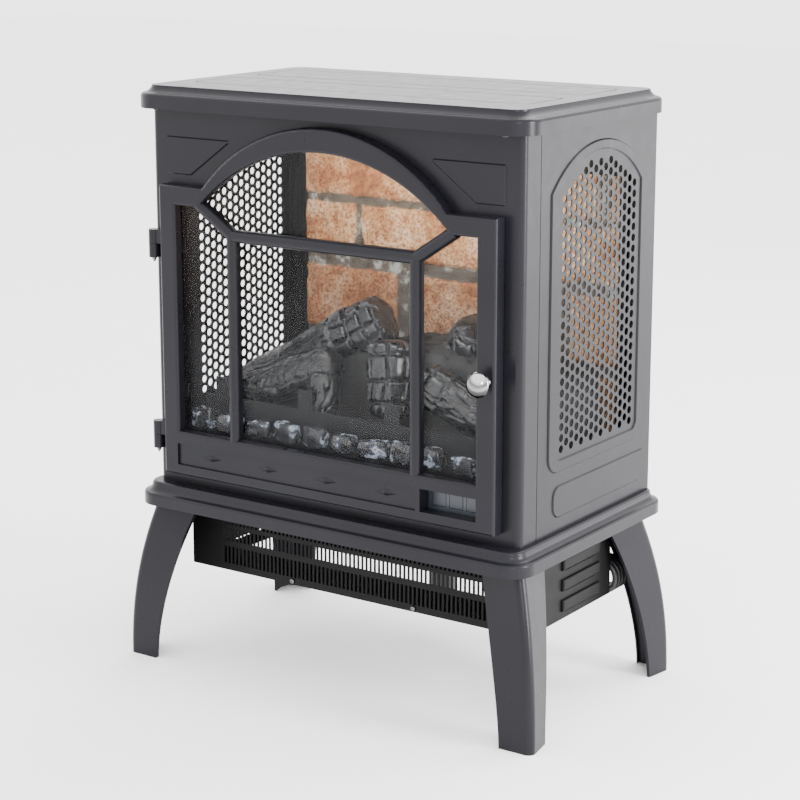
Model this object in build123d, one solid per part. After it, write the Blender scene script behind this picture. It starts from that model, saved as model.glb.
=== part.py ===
"""Free-standing electric fireplace in the shape of a small iron stove.

Millimetres, +Z up, +X to the right and -Y to the front. Sizes below are counted in Y from
the middle of the body; main() moves every piece by ORIGIN_SHIFT so that the origin lies on
the floor under the middle of the whole stove's box. One node per physical piece.
"""

from build123d import *
import math
import os

# ---------------------------------------------------------------- driving dimensions
HEIGHT = 600.0
SHEET = 1.2
GAP = 0.3

BODY_HALF_W = 218.8
BODY_FRONT = -126.2
BODY_BACK = 126.2
BODY_CORNER = 7.0
SEAM_Y = -97.0
SEAM_GAP = 0.9

LID_HALF_W = 231.0
LID_FRONT = -144.5
LID_BACK = 131.5
LID_UNDER = 577.3
RIM_CORNER = 26.0
RIM_DEPTH = 20.0

TRAY_HALF_W = 233.8
TRAY_FRONT = -151.0
TRAY_BACK = 141.7
TRAY_UNDER = 168.0
TRAY_TOP = 191.0

FOOT_X = 249.0
FOOT_FRONT = -149.0
FOOT_BACK = 129.0
LEG_SHEET = 1.6

DOOR_HALF_W = 199.5
DOOR_FRONT = -142.0
DOOR_BACK = -127.0
DOOR_BOTTOM = 203.5
DOOR_SHOULDER = 502.0
DOOR_ARCH_HALF = 144.5
DOOR_APEX = 570.5
WINDOW_HALF_W = 178.5
WINDOW_BOTTOM = 250.0
WINDOW_SHOULDER = 482.5
WINDOW_ARCH_HALF = 149.0
WINDOW_APEX = 547.0
MUNTIN_X = 109.0
MUNTIN_Z = 457.0
MUNTIN_W = 12.5
MUNTIN_Y = -135.7
REBATE_Y = -132.0
GLASS_Y = -131.5
HINGE_X = -212.0
HINGE_Y = -135.0
HINGE_HEIGHTS = (227.0, 426.3)
KNUCKLE = 14.2
KNOB_X = 189.0
KNOB_Z = 350.0
DIAMOND_XS = (-138.0, -66.5, 5.0, 76.5)

SIDE_MID_Y = 14.6
HOLE_R = 3.85
HOLE_PITCH_Z = 10.9
HOLE_PITCH_Y = 9.62
HOLE_COLUMNS = 15

BACKDROP_Y = 98.0
BACKDROP_HALF_W = 195.0
BACKDROP_TOP = 513.0
FLOOR_Z = 246.0
CEILING_Z = 516.0
GRATE_Y = -85.0
BANK_FRONT = -26.0
BANK_BACK = 80.0
BANK_OUTLINE = [(-180, 250), (190, 250), (190, 322), (90, 336), (-16, 338), (-150, 290)]

BOX_HALF_W = 207.0
BOX_FRONT = -90.0
BOX_BACK = 71.0
BOX_BOTTOM = 91.0
BOX_TOP = 189.8
SLOT_PITCH = 5.1
SLOT_W = 3.0
SLOT_HALF_W = 163.0
INTAKE_HALF_W = 192.0

ROTOR_R = 17.0
ROTOR_Y = 24.0
ROTOR_Z = 152.0
SPINDLE_Y = 112.0
SPINDLE_Z = 300.0

CORD_D = 6.8
RELIEF_X = -84.0
RELIEF_Z = 150.0
RELIEF_LENGTH = 20.0
HANK_X = (44.0, 212.0)
HANK_Y = (75.0, 106.0)
HANK_Z = (82.0, 126.0)
TIE_X = 120.0
TIE_SHEET = 1.4
CORD_ROUTE = [
    (-84.0, 90.5, 150.0),
    (-84.0, 107.0, 148.5),
    (-78.0, 121.7, 145.0),
    (-66.7, 132.9, 140.0),
    (-52.0, 139.0, 133.5),
    (-35.0, 140.5, 126.0),
    (-17.0, 136.5, 118.5),
    (-1.0, 127.5, 111.5),
    (14.0, 116.5, 106.5),
    (28.5, 105.5, 103.0),
    (46.0, 95.5, 101.0),
]
PLUG_ROUTE = [
    (47.0, 84.0, 116.0),
    (29.0, 84.0, 119.5),
    (13.0, 84.0, 114.5),
    (2.0, 84.0, 102.0),
    (-3.0, 84.0, 86.0),
]

KNOB_LENGTH = 21.0
ORIGIN_SHIFT = -(DOOR_FRONT - KNOB_LENGTH + TRAY_BACK) / 2

SCREW_HOLE_R = 1.6
REAR_TAB = (200.0, 106.0)
LID_SCREWS = [(sx * x, y) for sx in (-1, 1) for x, y in ((204.0, -135.0), REAR_TAB)]
BACK_SCREWS = [(sx * 208.0, z) for sx in (-1, 1) for z in (215.0, 330.0, 445.0, 560.0)]
STRIP_SHEET = 1.5
KEY_XS = (129.5, 148.5, 167.5)
KEY_Z = 226.0
KEY_SIZE = 15.0
KEY_TRAVEL = 1.5
SWITCH_Y = BODY_FRONT + 11.2

LOGS = {
    "log_long": (
        [(-196, -14, 274), (-130, -10, 303), (-64, -4, 339), (-18, 2, 364)],
        [18, 26, 29, 28],
    ),
    "log_front_right": (
        [(16, -44, 270), (12, -38, 306), (4, -30, 348)],
        [22, 25, 22],
    ),
    "log_right": (
        [(26, 48, 284), (50, 42, 312), (68, 34, 338), (80, 28, 362)],
        [30, 34, 34, 30],
    ),
    "log_left_low": (
        [(-190, -53, 268), (-148, -52, 281), (-100, -50, 300), (-46, -47, 322)],
        [16, 21, 23, 21],
    ),
    "log_right_low": (
        [(48, -28, 312), (86, -34, 297), (132, -40, 280), (182, -44, 266)],
        [22, 24, 22, 17],
    ),
    "log_centre": (
        [(-58, -62, 264), (-56, -60, 284), (-55, -57, 306)],
        [18, 19, 17],
    ),
}

# ---------------------------------------------------------------- small helpers


def block(x0, x1, y0, y1, z0, z1):
    """A box from its two corners."""
    middle = Pos((x0 + x1) / 2, (y0 + y1) / 2, (z0 + z1) / 2)
    return middle * Box(x1 - x0, y1 - y0, z1 - z0)


def rod_x(x0, x1, y, z, radius):
    """A round bar along X."""
    return Pos((x0 + x1) / 2, y, z) * Rot(0, 90, 0) * Cylinder(radius, x1 - x0)


def rod_y(x, y0, y1, z, radius):
    """A round bar along Y."""
    return Pos(x, (y0 + y1) / 2, z) * Rot(90, 0, 0) * Cylinder(radius, y1 - y0)


def rod_z(x, y, z0, z1, radius):
    """A round bar along Z."""
    return Pos(x, y, (z0 + z1) / 2) * Cylinder(radius, z1 - z0)


def bar(start, end, radius):
    """A round bar between any two points."""
    a = Vector(*start)
    b = Vector(*end)
    plane = Plane(origin=(a + b) / 2, z_dir=(b - a).normalized())
    return plane * Cylinder(radius, (b - a).length)


def mirrored(shape, plane=Plane.YZ):
    """The same piece on the other side."""
    return mirror(shape, about=plane)


def front_plane(y):
    """A sketch plane facing the front, X to the right and Z up."""
    return Plane(origin=(0, y, 0), x_dir=(1, 0, 0), z_dir=(0, -1, 0))


def outline(points):
    """A flat face from straight sides."""
    return make_face(Polyline(*points, close=True))


def arch_wire(half_w, bottom, shoulder, arch_half, apex):
    """A stepped arch: straight sides, level shoulders and a round top."""
    left = Polyline(
        (-arch_half, shoulder),
        (-half_w, shoulder),
        (-half_w, bottom),
        (half_w, bottom),
        (half_w, shoulder),
        (arch_half, shoulder),
    )
    top = ThreePointArc((arch_half, shoulder), (0, apex), (-arch_half, shoulder))
    return Wire(left.edges() + top.edges())


def cross_recess(x, y, z, size):
    """A cross for a screw head that faces -Z, centred on the head's face."""
    wide = Pos(x, y, z) * Box(size, size * 0.22, 1.4)
    tall = Pos(x, y, z) * Box(size * 0.22, size, 1.4)
    return wide + tall


def pan_screw_down(x, y, z, head_r=3.4, shank_r=1.5, shank=6.0):
    """A cross-head screw driven upwards, its head's flat under side at z."""
    head = Pos(x, y, z - 1.1) * Cylinder(head_r, 2.2)
    head = fillet(head.faces().sort_by(Axis.Z)[0].edges(), 1.2)
    head = head - cross_recess(x, y, z - 2.2, head_r * 1.2)
    return head + rod_z(x, y, z - 0.2, z + shank, shank_r)


def pan_screw_back(x, y, z, head_r=3.2, shank_r=1.4, shank=5.0):
    """A cross-head screw driven towards -Y, its head's flat side at y."""
    screw = pan_screw_down(0, 0, 0, head_r, shank_r, shank)
    return Pos(x, y, z) * Rot(90, 0, 0) * screw


def pan_screw_front(x, y, z, head_r=2.6, shank_r=1.2, shank=4.0):
    """A cross-head screw driven towards +Y, its head's flat side at y."""
    screw = pan_screw_down(0, 0, 0, head_r, shank_r, shank)
    return Pos(x, y, z) * Rot(-90, 0, 0) * screw


# ---------------------------------------------------------------- lid and base tray


def rim(profile, half_w, y_front, y_back):
    """A moulded edge swept round a rounded rectangle, as two mirrored halves."""
    path = FilletPolyline(
        (0, y_back), (half_w, y_back), (half_w, y_front), (0, y_front), radius=RIM_CORNER
    )
    start = Plane(origin=(0, y_back, 0), x_dir=(0, 1, 0), z_dir=(1, 0, 0))
    half = sweep(start * profile, path=path)
    return half + mirrored(half)


def inner_plate(half_w, y_front, y_back, z0, z1, inset):
    """The flat sheet inside a swept rim."""
    middle = (y_front + y_back) / 2
    width = 2 * (half_w - inset)
    depth = y_back - y_front - 2 * inset
    plate = RectangleRounded(width, depth, RIM_CORNER - inset)
    return Pos(0, middle, z0) * extrude(plate, z1 - z0)


def lid_profile():
    """Flat top, small step, cove, rounded nose, upright fascia and a return under it."""
    top = HEIGHT
    under = LID_UNDER
    lines = [
        Line((-RIM_DEPTH, top), (-11.4, top)),
        Line((-11.4, top), (-11.0, top - 1.7)),
        ThreePointArc((-11.0, top - 1.7), (-7.7, top - 5.6), (-3.4, top - 7.4)),
        ThreePointArc((-3.4, top - 7.4), (-1.0, top - 8.6), (0, top - 11.0)),
        Line((0, top - 11.0), (0, under)),
        Line((0, under), (-RIM_DEPTH, under)),
        Line((-RIM_DEPTH, under), (-RIM_DEPTH, under + SHEET)),
        Line((-RIM_DEPTH, under + SHEET), (-SHEET, under + SHEET)),
        Line((-SHEET, under + SHEET), (-SHEET, top - 11.0)),
        Line((-SHEET, top - 11.0), (-8.6, top - 7.2)),
        Line((-8.6, top - 7.2), (-12.4, top - SHEET)),
        Line((-12.4, top - SHEET), (-RIM_DEPTH, top - SHEET)),
        Line((-RIM_DEPTH, top - SHEET), (-RIM_DEPTH, top)),
    ]
    return make_face(Wire([line.edge() for line in lines]))


def make_top_lid():
    """Pressed sheet lid: moulded rim, flat top with two grooved panels, turned-in lip."""
    ring = rim(lid_profile(), LID_HALF_W, LID_FRONT, LID_BACK)
    plate = inner_plate(
        LID_HALF_W, LID_FRONT, LID_BACK, HEIGHT - SHEET, HEIGHT, RIM_DEPTH - 1.0
    )
    lid = ring + plate
    groove = 1.4
    for y0, y1 in ((-87.0, -18.0), (15.0, 87.0)):
        middle = Pos(0, (y0 + y1) / 2, HEIGHT - 0.6)
        outer = RectangleRounded(396.0, y1 - y0, 9.0)
        inner = RectangleRounded(396.0 - 2 * groove, y1 - y0 - 2 * groove, 9.0 - groove)
        lid = lid - middle * extrude(outer - inner, 2.0)
    tabs = [
        block(sx * 206 - 14, sx * 206 + 14, sy - 12, sy + 12, LID_UNDER, LID_UNDER + SHEET)
        for sx in (-1, 1)
        for sy in (LID_FRONT + 24, LID_BACK - 24)
    ]
    for tab in tabs:
        lid = lid + tab
    for x, y in LID_SCREWS:
        lid = lid - rod_z(x, y, LID_UNDER - 1, LID_UNDER + 3, SCREW_HOLE_R)
    return lid


def make_lid_screws():
    """Cross-head screws: two up through the lid's lip, two through the strips' tops."""
    screws = []
    for x, y in LID_SCREWS:
        under = LID_UNDER - (STRIP_SHEET if y > 0 else 0)
        screws.append(pan_screw_down(x, y, under, shank=5.0))
    return screws


def tray_profile():
    """Flat top, bead, cove, rounded nose and upright fascia."""
    top = TRAY_TOP
    under = TRAY_UNDER
    lines = [
        Line((-RIM_DEPTH, top), (-12.0, top)),
        ThreePointArc((-12.0, top), (-9.6, top - 1.0), (-8.6, top - 3.4)),
        ThreePointArc((-8.6, top - 3.4), (-6.6, top - 7.8), (-2.6, top - 10.0)),
        ThreePointArc((-2.6, top - 10.0), (-0.7, top - 11.0), (0, top - 12.8)),
        Line((0, top - 12.8), (0, under)),
        Line((0, under), (-RIM_DEPTH, under)),
        Line((-RIM_DEPTH, under), (-RIM_DEPTH, under + SHEET)),
        Line((-RIM_DEPTH, under + SHEET), (-SHEET, under + SHEET)),
        Line((-SHEET, under + SHEET), (-SHEET, top - 12.8)),
        Line((-SHEET, top - 12.8), (-7.6, top - 9.6)),
        Line((-7.6, top - 9.6), (-10.2, top - 3.6)),
        Line((-10.2, top - 3.6), (-12.6, top - SHEET)),
        Line((-12.6, top - SHEET), (-RIM_DEPTH, top - SHEET)),
        Line((-RIM_DEPTH, top - SHEET), (-RIM_DEPTH, top)),
    ]
    return make_face(Wire([line.edge() for line in lines]))


def make_base_tray():
    """Moulded tray that carries the body; a plate under it takes legs and heater box."""
    ring = rim(tray_profile(), TRAY_HALF_W, TRAY_FRONT, TRAY_BACK)
    inset = RIM_DEPTH - 1.0
    top = inner_plate(
        TRAY_HALF_W, TRAY_FRONT, TRAY_BACK, TRAY_TOP - SHEET, TRAY_TOP, inset
    )
    low = inner_plate(
        TRAY_HALF_W, TRAY_FRONT, TRAY_BACK, TRAY_UNDER, TRAY_UNDER + SHEET, inset
    )
    wide = BOX_HALF_W + 1.0
    low = low - block(-wide, wide, BOX_FRONT - 2.5, BOX_BACK + 2.5, 160, 175)
    tray = ring + top + low
    tray = tray - rod_z(150, 40, TRAY_TOP - 5, TRAY_TOP + 5, 9.0)
    for foot_y, sign_y in ((FOOT_FRONT, -1), (FOOT_BACK, 1)):
        for x, y in leg_screw_places(foot_y, sign_y):
            for side in (-1, 1):
                tray = tray - rod_z(side * x, y, TRAY_UNDER - 1, 175, SCREW_HOLE_R)
    return tray


# ---------------------------------------------------------------- legs


def leg_section(z, foot_y, sign_y):
    """One level of a leg: front face, corner and side face of bent sheet, with lips."""
    rise = min(z / (TRAY_UNDER - 1.0), 1.0)
    flare = rise**2.2
    corner = Vector(FOOT_X - 24.0 * flare, foot_y - sign_y * 17.0 * flare)
    front_end = Vector(212.0 - 39.0 * rise**1.6, corner.Y - sign_y * 12.0 * rise**2)
    side_w = 34.0 + 26.0 * rise**1.3
    side_end = Vector(corner.X - 6.0 - 6.0 * rise, corner.Y - sign_y * side_w)
    t = LEG_SHEET
    back = -sign_y
    lip = 5.0
    points = [
        corner,
        side_end,
        side_end + Vector(-3.2, 0),
        side_end + Vector(-3.2, -back * t),
        side_end + Vector(-t, -back * t),
        corner + Vector(-t - 0.4, back * t),
        front_end + Vector(t, back * t),
        front_end + Vector(t, back * lip),
        front_end + Vector(0, back * lip),
        front_end,
    ]
    face = outline([(p.X, p.Y) for p in points])
    near = [v for v in face.vertices() if (Vector(*v) - corner).length < 0.01]
    face = fillet(near, 7.0)
    inside = corner + Vector(-t - 0.4, back * t)
    near = [v for v in face.vertices() if (Vector(*v) - inside).length < 0.01]
    face = fillet(near, 5.4)
    return Pos(0, 0, z) * face


def make_leg(foot_y, sign_y):
    """Right-hand leg: a curved L of sheet with a fixing plate at its top."""
    levels = (0.0, 24.0, 54.0, 84.0, 112.0, 140.0, TRAY_UNDER)
    leg = loft([leg_section(z, foot_y, sign_y) for z in levels])
    top_y = foot_y - sign_y * 18.0
    end_y = top_y - sign_y * 26.0
    low, high = sorted((top_y, end_y))
    plate = block(180.0, 221.0, low, high, TRAY_UNDER - LEG_SHEET, TRAY_UNDER)
    for x, y in leg_screw_places(foot_y, sign_y):
        plate = plate - rod_z(x, y, TRAY_UNDER - 5, TRAY_UNDER + 5, SCREW_HOLE_R)
    return leg + plate


def leg_screw_places(foot_y, sign_y):
    """The two screws of a right-hand leg's fixing plate."""
    y = foot_y - sign_y * 34.0
    return [(190.0, y), (208.0, y)]


def make_leg_screws():
    """Eight screws up through the legs' plates into the tray."""
    screws = []
    for foot_y, sign_y in ((FOOT_FRONT, -1), (FOOT_BACK, 1)):
        for x, y in leg_screw_places(foot_y, sign_y):
            for side in (-1, 1):
                screws.append(pan_screw_down(side * x, y, TRAY_UNDER - LEG_SHEET))
    return screws


# ---------------------------------------------------------------- body sheets


def make_front_panel():
    """Front shell that wraps round both front corners, with the firebox opening."""
    outer = FilletPolyline(
        (-BODY_HALF_W, SEAM_Y),
        (-BODY_HALF_W, BODY_FRONT),
        (BODY_HALF_W, BODY_FRONT),
        (BODY_HALF_W, SEAM_Y),
        radius=BODY_CORNER,
    )
    w = BODY_HALF_W - SHEET
    inner = FilletPolyline(
        (w, SEAM_Y),
        (w, BODY_FRONT + SHEET),
        (-w, BODY_FRONT + SHEET),
        (-w, SEAM_Y),
        radius=BODY_CORNER - SHEET,
    )
    ends = [
        Line((BODY_HALF_W, SEAM_Y), (w, SEAM_Y)),
        Line((-w, SEAM_Y), (-BODY_HALF_W, SEAM_Y)),
    ]
    plan = make_face(
        Wire(outer.edges() + inner.edges() + [line.edge() for line in ends])
    )
    shell = Pos(0, 0, TRAY_TOP) * extrude(plan, LID_UNDER - TRAY_TOP)
    hole = make_face(arch_wire(181.0, FLOOR_Z + 1.0, 485.0, 151.0, 552.0))
    opening = extrude(front_plane(BODY_FRONT + 10) * hole, 20)
    shell = shell - opening
    shell = shell - block(112, 184, BODY_FRONT - 5, BODY_FRONT + 5, 211, 241)
    return shell + corner_emboss(1) + corner_emboss(-1)


def corner_emboss(side):
    """Raised field with one slanting side beside the arch."""
    points = [(116.0, 549.5), (200.0, 549.5), (200.0, 511.5), (168.5, 511.5)]
    face = outline([(side * x, z) for x, z in points])
    face = fillet(face.vertices(), 2.0)
    raised = extrude(front_plane(BODY_FRONT + 0.2) * face, 1.5)
    rim_edges = raised.faces().sort_by(Axis.Y)[0].edges()
    return chamfer(rim_edges, 1.1)


def side_arch_face(half_w, bottom, spring, apex, corner):
    """Outline of a side panel's embossed arch, in the Y-Z plane."""
    left = SIDE_MID_Y - half_w
    right = SIDE_MID_Y + half_w
    sides = Polyline((left, spring), (left, bottom), (right, bottom), (right, spring))
    top = ThreePointArc((right, spring), (SIDE_MID_Y, apex), (left, spring))
    face = make_face(Wire(sides.edges() + top.edges()))
    low = face.vertices().sort_by(Axis.Y)[:2]
    return fillet(low, corner)


def hole_places():
    """Centres of the staggered holes under the side panel's arch."""
    reach = (HOLE_COLUMNS - 1) / 2 * HOLE_PITCH_Y
    radius = 100.0
    places = []
    for column in range(HOLE_COLUMNS):
        offset = column * HOLE_PITCH_Y - reach
        ceiling = 542.0 - radius + math.sqrt(radius**2 - offset**2)
        z = 271.5 + (column % 2) * HOLE_PITCH_Z / 2
        while z <= ceiling:
            places.append((SIDE_MID_Y + offset, z))
            z += HOLE_PITCH_Z
    return places


def make_side_panel():
    """Right side panel: perforated arch, raised band round it, raised field below."""
    y0 = SEAM_Y + SEAM_GAP
    edge = Polyline(
        (y0, TRAY_TOP), (BODY_BACK, TRAY_TOP), (BODY_BACK, LID_UNDER), (y0, LID_UNDER),
        close=True,
    )
    holes = [Wire(Pos(y, z) * Edge.make_circle(HOLE_R)) for y, z in hole_places()]
    sheet = Face(Wire(edge.edges()), holes)
    plane = Plane(origin=(BODY_HALF_W - SHEET, 0, 0), x_dir=(0, 1, 0), z_dir=(1, 0, 0))
    panel = extrude(plane * sheet, SHEET)
    face_plane = Plane(
        origin=(BODY_HALF_W - 0.2, 0, 0), x_dir=(0, 1, 0), z_dir=(1, 0, 0)
    )
    outer = side_arch_face(93.0, 250.0, 518.0, 560.5, 17.0)
    inner = side_arch_face(79.0, 262.0, 514.0, 550.5, 9.0)
    band = extrude(face_plane * (outer - inner), 1.7)
    band = chamfer(band.faces().sort_by(Axis.X)[-1].edges(), 1.3)
    low = Pos(SIDE_MID_Y + 11.0, 220.8) * RectangleRounded(187.0, 32.0, 12.0)
    field = extrude(face_plane * low, 1.5)
    field = chamfer(field.faces().sort_by(Axis.X)[-1].edges(), 1.2)
    return panel + band + field


def make_back_panel():
    """Flat back sheet with two rows of cooling slots and a stiffening recess line."""
    w = BODY_HALF_W - SHEET - GAP
    back = block(-w, w, BODY_BACK - SHEET, BODY_BACK, TRAY_TOP, LID_UNDER)
    cutters = []
    for z in (470.0, 490.0, 510.0, 530.0):
        for column in range(-8, 9):
            x = column * 17.0
            slot = Pos(x, BODY_BACK - 0.6, z) * Rot(90, 0, 0)
            cutters.append(slot * extrude(SlotOverall(12.0, 3.6), 3.0, both=True))
    back = back - cutters
    for z in (235.0, 445.0):
        ridge = block(-180, 180, BODY_BACK - 0.2, BODY_BACK + 1.0, z - 3, z + 3)
        back = back + chamfer(ridge.faces().sort_by(Axis.Y)[-1].edges(), 0.9)
    for x, z in BACK_SCREWS:
        back = back - rod_y(x, BODY_BACK - 3, BODY_BACK + 3, z, SCREW_HOLE_R)
    return back


def make_back_screws():
    """Eight screws that hold the back panel."""
    return [pan_screw_back(x, BODY_BACK, z) for x, z in BACK_SCREWS]


def make_screw_strips():
    """Two folded angle strips inside the rear corners that take back and lid screws."""
    strips = []
    for side in (-1, 1):
        x_out = side * (BODY_HALF_W - SHEET - GAP)
        x_in = side * (BODY_HALF_W - SHEET - 17.0)
        x0, x1 = sorted((x_out, x_in))
        y1 = BODY_BACK - SHEET
        strip = block(x0, x1, y1 - STRIP_SHEET, y1, TRAY_TOP + 2, LID_UNDER)
        leg_x0, leg_x1 = sorted((x_out, x_out - side * STRIP_SHEET))
        strip = strip + block(leg_x0, leg_x1, y1 - 12, y1, TRAY_TOP + 2, LID_UNDER)
        top_x0, top_x1 = sorted((x_out, side * (REAR_TAB[0] - 8.0)))
        top = block(top_x0, top_x1, REAR_TAB[1] - 8, y1, LID_UNDER - STRIP_SHEET, LID_UNDER)
        strip = strip + top
        strip = strip - rod_z(side * REAR_TAB[0], REAR_TAB[1], 570, 580, SCREW_HOLE_R)
        for x, z in BACK_SCREWS:
            strip = strip - rod_y(x, y1 - 3, y1 + 1, z, 1.4)
        strips.append(strip)
    return strips


# ---------------------------------------------------------------- firebox


def make_firebox_floor():
    """Shelf that carries logs, embers and grate, with a fold down at the front."""
    w = BODY_HALF_W - SHEET - GAP
    front = BODY_FRONT + SHEET + GAP
    shelf = block(-w, w, front + 6, BACKDROP_Y - 1.5, FLOOR_Z - 1.2, FLOOR_Z)
    return shelf + block(-w + 6, 96, front + 6, front + 7.2, FLOOR_Z - 30, FLOOR_Z)


def make_firebox_ceiling():
    """Sheet over the firebox, with a fold up at the front."""
    w = BODY_HALF_W - SHEET - GAP
    front = BODY_FRONT + SHEET + 24.0
    sheet = block(-w, w, front, BODY_BACK - 14, CEILING_Z + 42, CEILING_Z + 43.2)
    return sheet + block(-w + 6, w - 6, front, front + 1.2, CEILING_Z + 42, LID_UNDER - 1)


def make_backdrop_frame():
    """Black frame round the brick board: two posts, a head rail and a sill."""
    w = BODY_HALF_W - SHEET - GAP
    x = BACKDROP_HALF_W
    y0 = BACKDROP_Y - 1.0
    y1 = BACKDROP_Y + 4.0
    frame = block(-w, w, y0, y1, FLOOR_Z - 1.2, CEILING_Z + 40)
    hole = block(-x, x, y0 - 2, y1 + 2, FLOOR_Z + 6, BACKDROP_TOP)
    frame = frame - hole
    for side in (-1, 1):
        edge = side * (x + 8.0)
        x0, x1 = sorted((edge, edge + side * 1.6))
        frame = frame + block(x0, x1, y0 - 5, y0 + 1, FLOOR_Z + 0.3, CEILING_Z + 40)
    return frame


def make_brick_backdrop():
    """Board printed and pressed as brickwork, behind the frame."""
    x = BACKDROP_HALF_W + 6
    y = BACKDROP_Y + 4.0
    board = block(-x, x, y, y + 3.0, FLOOR_Z, BACKDROP_TOP + 6)
    return board


def make_log(points, radii):
    """One cast log: rounded sections lofted along its line."""
    sections = []
    for index, (place, radius) in enumerate(zip(points, radii)):
        before = Vector(*points[max(index - 1, 0)])
        after = Vector(*points[min(index + 1, len(points) - 1)])
        plane = Plane(origin=place, z_dir=(after - before).normalized())
        sections.append(plane * RegularPolygon(radius, 8))
    return loft(sections, ruled=True)


def grown_log(name):
    """A log with the clearance that its neighbours keep from it."""
    points, radii = LOGS[name]
    return make_log(points, [radius + GAP for radius in radii])


def make_log_pile():
    """Every log by name, each cut clear of those before it."""
    pile = {}
    for name, (points, radii) in LOGS.items():
        log = make_log(points, radii)
        for other in pile:
            log = log - grown_log(other)
        pile[name] = log.solids().sort_by(SortBy.VOLUME)[-1]
    return pile


def make_ember_bed():
    """Moulded bed of ash and coals, banked up at the back, that the logs lie in."""
    sections = []
    for x, y0, y1, z in ((205, -64, 92, FLOOR_Z), (196, -56, 84, FLOOR_Z + 12)):
        middle = Pos(0, (y0 + y1) / 2, z)
        sections.append(middle * RectangleRounded(2 * x, y1 - y0, 8.0))
    bed = loft(sections, ruled=True)
    bank = extrude(front_plane(BANK_BACK) * outline(BANK_OUTLINE), BANK_BACK - BANK_FRONT)
    top = [edge for edge in bank.edges() if edge.center().Z > FLOOR_Z + 20]
    bed = bed + chamfer(top, 6.0)
    for name in LOGS:
        bed = bed - grown_log(name)
    return bed.solids().sort_by(SortBy.VOLUME)[-1]


def make_ember_chunks():
    """Clear resin coals in a row on the shelf in front of the grate."""
    chunks = []
    count = 11
    for index in range(count):
        x = -178.0 + index * 356.0 / (count - 1)
        width = 22.0 + 5.0 * math.sin(index * 2.3)
        height = 19.0 + 4.0 * math.cos(index * 1.7)
        chunk = Pos(x, -101.0 + 2.0 * math.sin(index * 3.1), FLOOR_Z + height / 2)
        turned = chunk * Rot(0, 0, 20.0 * math.sin(index * 1.3))
        solid = turned * Box(width, 15.0, height)
        chunks.append(chamfer(solid.faces().sort_by(Axis.Z)[-1].edges(), 4.5))
    return chunks


def make_fire_grate():
    """Upright fender sheet with four square prongs and feet folded back under it."""
    y0 = GRATE_Y
    y1 = GRATE_Y + 2.0
    grate = block(-190, 190, y0, y1, FLOOR_Z, 277)
    for index in range(4):
        x = -167.0 + index * 106.5
        grate = grate + block(x - 8.5, x + 8.5, y0, y1, FLOOR_Z, 297)
    for x in (-150.0, 0.0, 150.0):
        grate = grate + block(x - 6, x + 6, y0, y0 + 14, FLOOR_Z, FLOOR_Z + 1.5)
    return grate


def make_light_box():
    """Sheet trough behind the board that holds lamps and flame spindle."""
    y0 = BACKDROP_Y + 7.5
    y1 = BODY_BACK - SHEET - 2.0
    sheet = 1.0
    low = block(-170, 170, y0, y1, 276, 276 + sheet)
    ends = block(-171, -170, y0, y1, 276, 330) + block(170, 171, y0, y1, 276, 330)
    back = block(-170, 170, y1 - sheet, y1, 276, 330)
    trough = low + ends + back
    trough = trough - rod_x(-173, -169, SPINDLE_Y, SPINDLE_Z, 1.55)
    return trough - rod_x(169, 173, SPINDLE_Y, SPINDLE_Z, 2.6)


def make_flame_spindle():
    """Rod with polished metal flags that throws the flame pattern."""
    spindle = rod_x(-173, 167, SPINDLE_Y, SPINDLE_Z, 1.5)
    for index in range(15):
        x = -147.0 + index * 21.0
        flag = Pos(x, 0, 0) * Box(15.0, 9.0, 0.6)
        turned = Pos(0, SPINDLE_Y, SPINDLE_Z) * Rot(index * 50.0, 0, 0) * flag
        spindle = spindle + turned
    return spindle


def make_spindle_motor():
    """Small synchronous motor at the spindle's right end, with its plate."""
    motor = rod_x(163, 169.7, SPINDLE_Y, SPINDLE_Z, 5.4)
    motor = motor + block(171.0, 184.0, SPINDLE_Y - 5.5, SPINDLE_Y + 5.5, 290, 316)
    motor = motor + rod_x(169.7, 171, SPINDLE_Y, SPINDLE_Z, 2.5)
    return motor - rod_x(155, 167.4, SPINDLE_Y, SPINDLE_Z, 1.55)


def make_led_strip():
    """Circuit strip with lamps along the firebox's top front."""
    y = BODY_FRONT + 30.0
    z = CEILING_Z + 42.0
    strip = block(-150, 150, y, y + 12, z - 1.6, z)
    for index in range(13):
        x = -138.0 + index * 23.0
        strip = strip + block(x - 2.5, x + 2.5, y + 3.5, y + 8.5, z - 3.4, z - 1.6)
    return strip


# ---------------------------------------------------------------- door


def muntin(start, end):
    """A half-round glazing bar between two points of the window, (x, z) each."""
    a = Vector(start[0], MUNTIN_Y, start[1])
    b = Vector(end[0], MUNTIN_Y, end[1])
    radius = MUNTIN_W / 2
    length = (b - a).length
    middle = (a + b) / 2
    angle = math.degrees(math.atan2(b.Z - a.Z, b.X - a.X))
    front_half = Pos(0, -radius / 2, 0) * Box(length, radius, MUNTIN_W)
    round_part = front_half & (Rot(0, 90, 0) * Cylinder(radius, length))
    depth = REBATE_Y - MUNTIN_Y
    flat = Pos(0, depth / 2, 0) * Box(length, depth, MUNTIN_W)
    return Pos(middle.X, middle.Y, middle.Z) * Rot(0, -angle, 0) * (round_part + flat)


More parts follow.
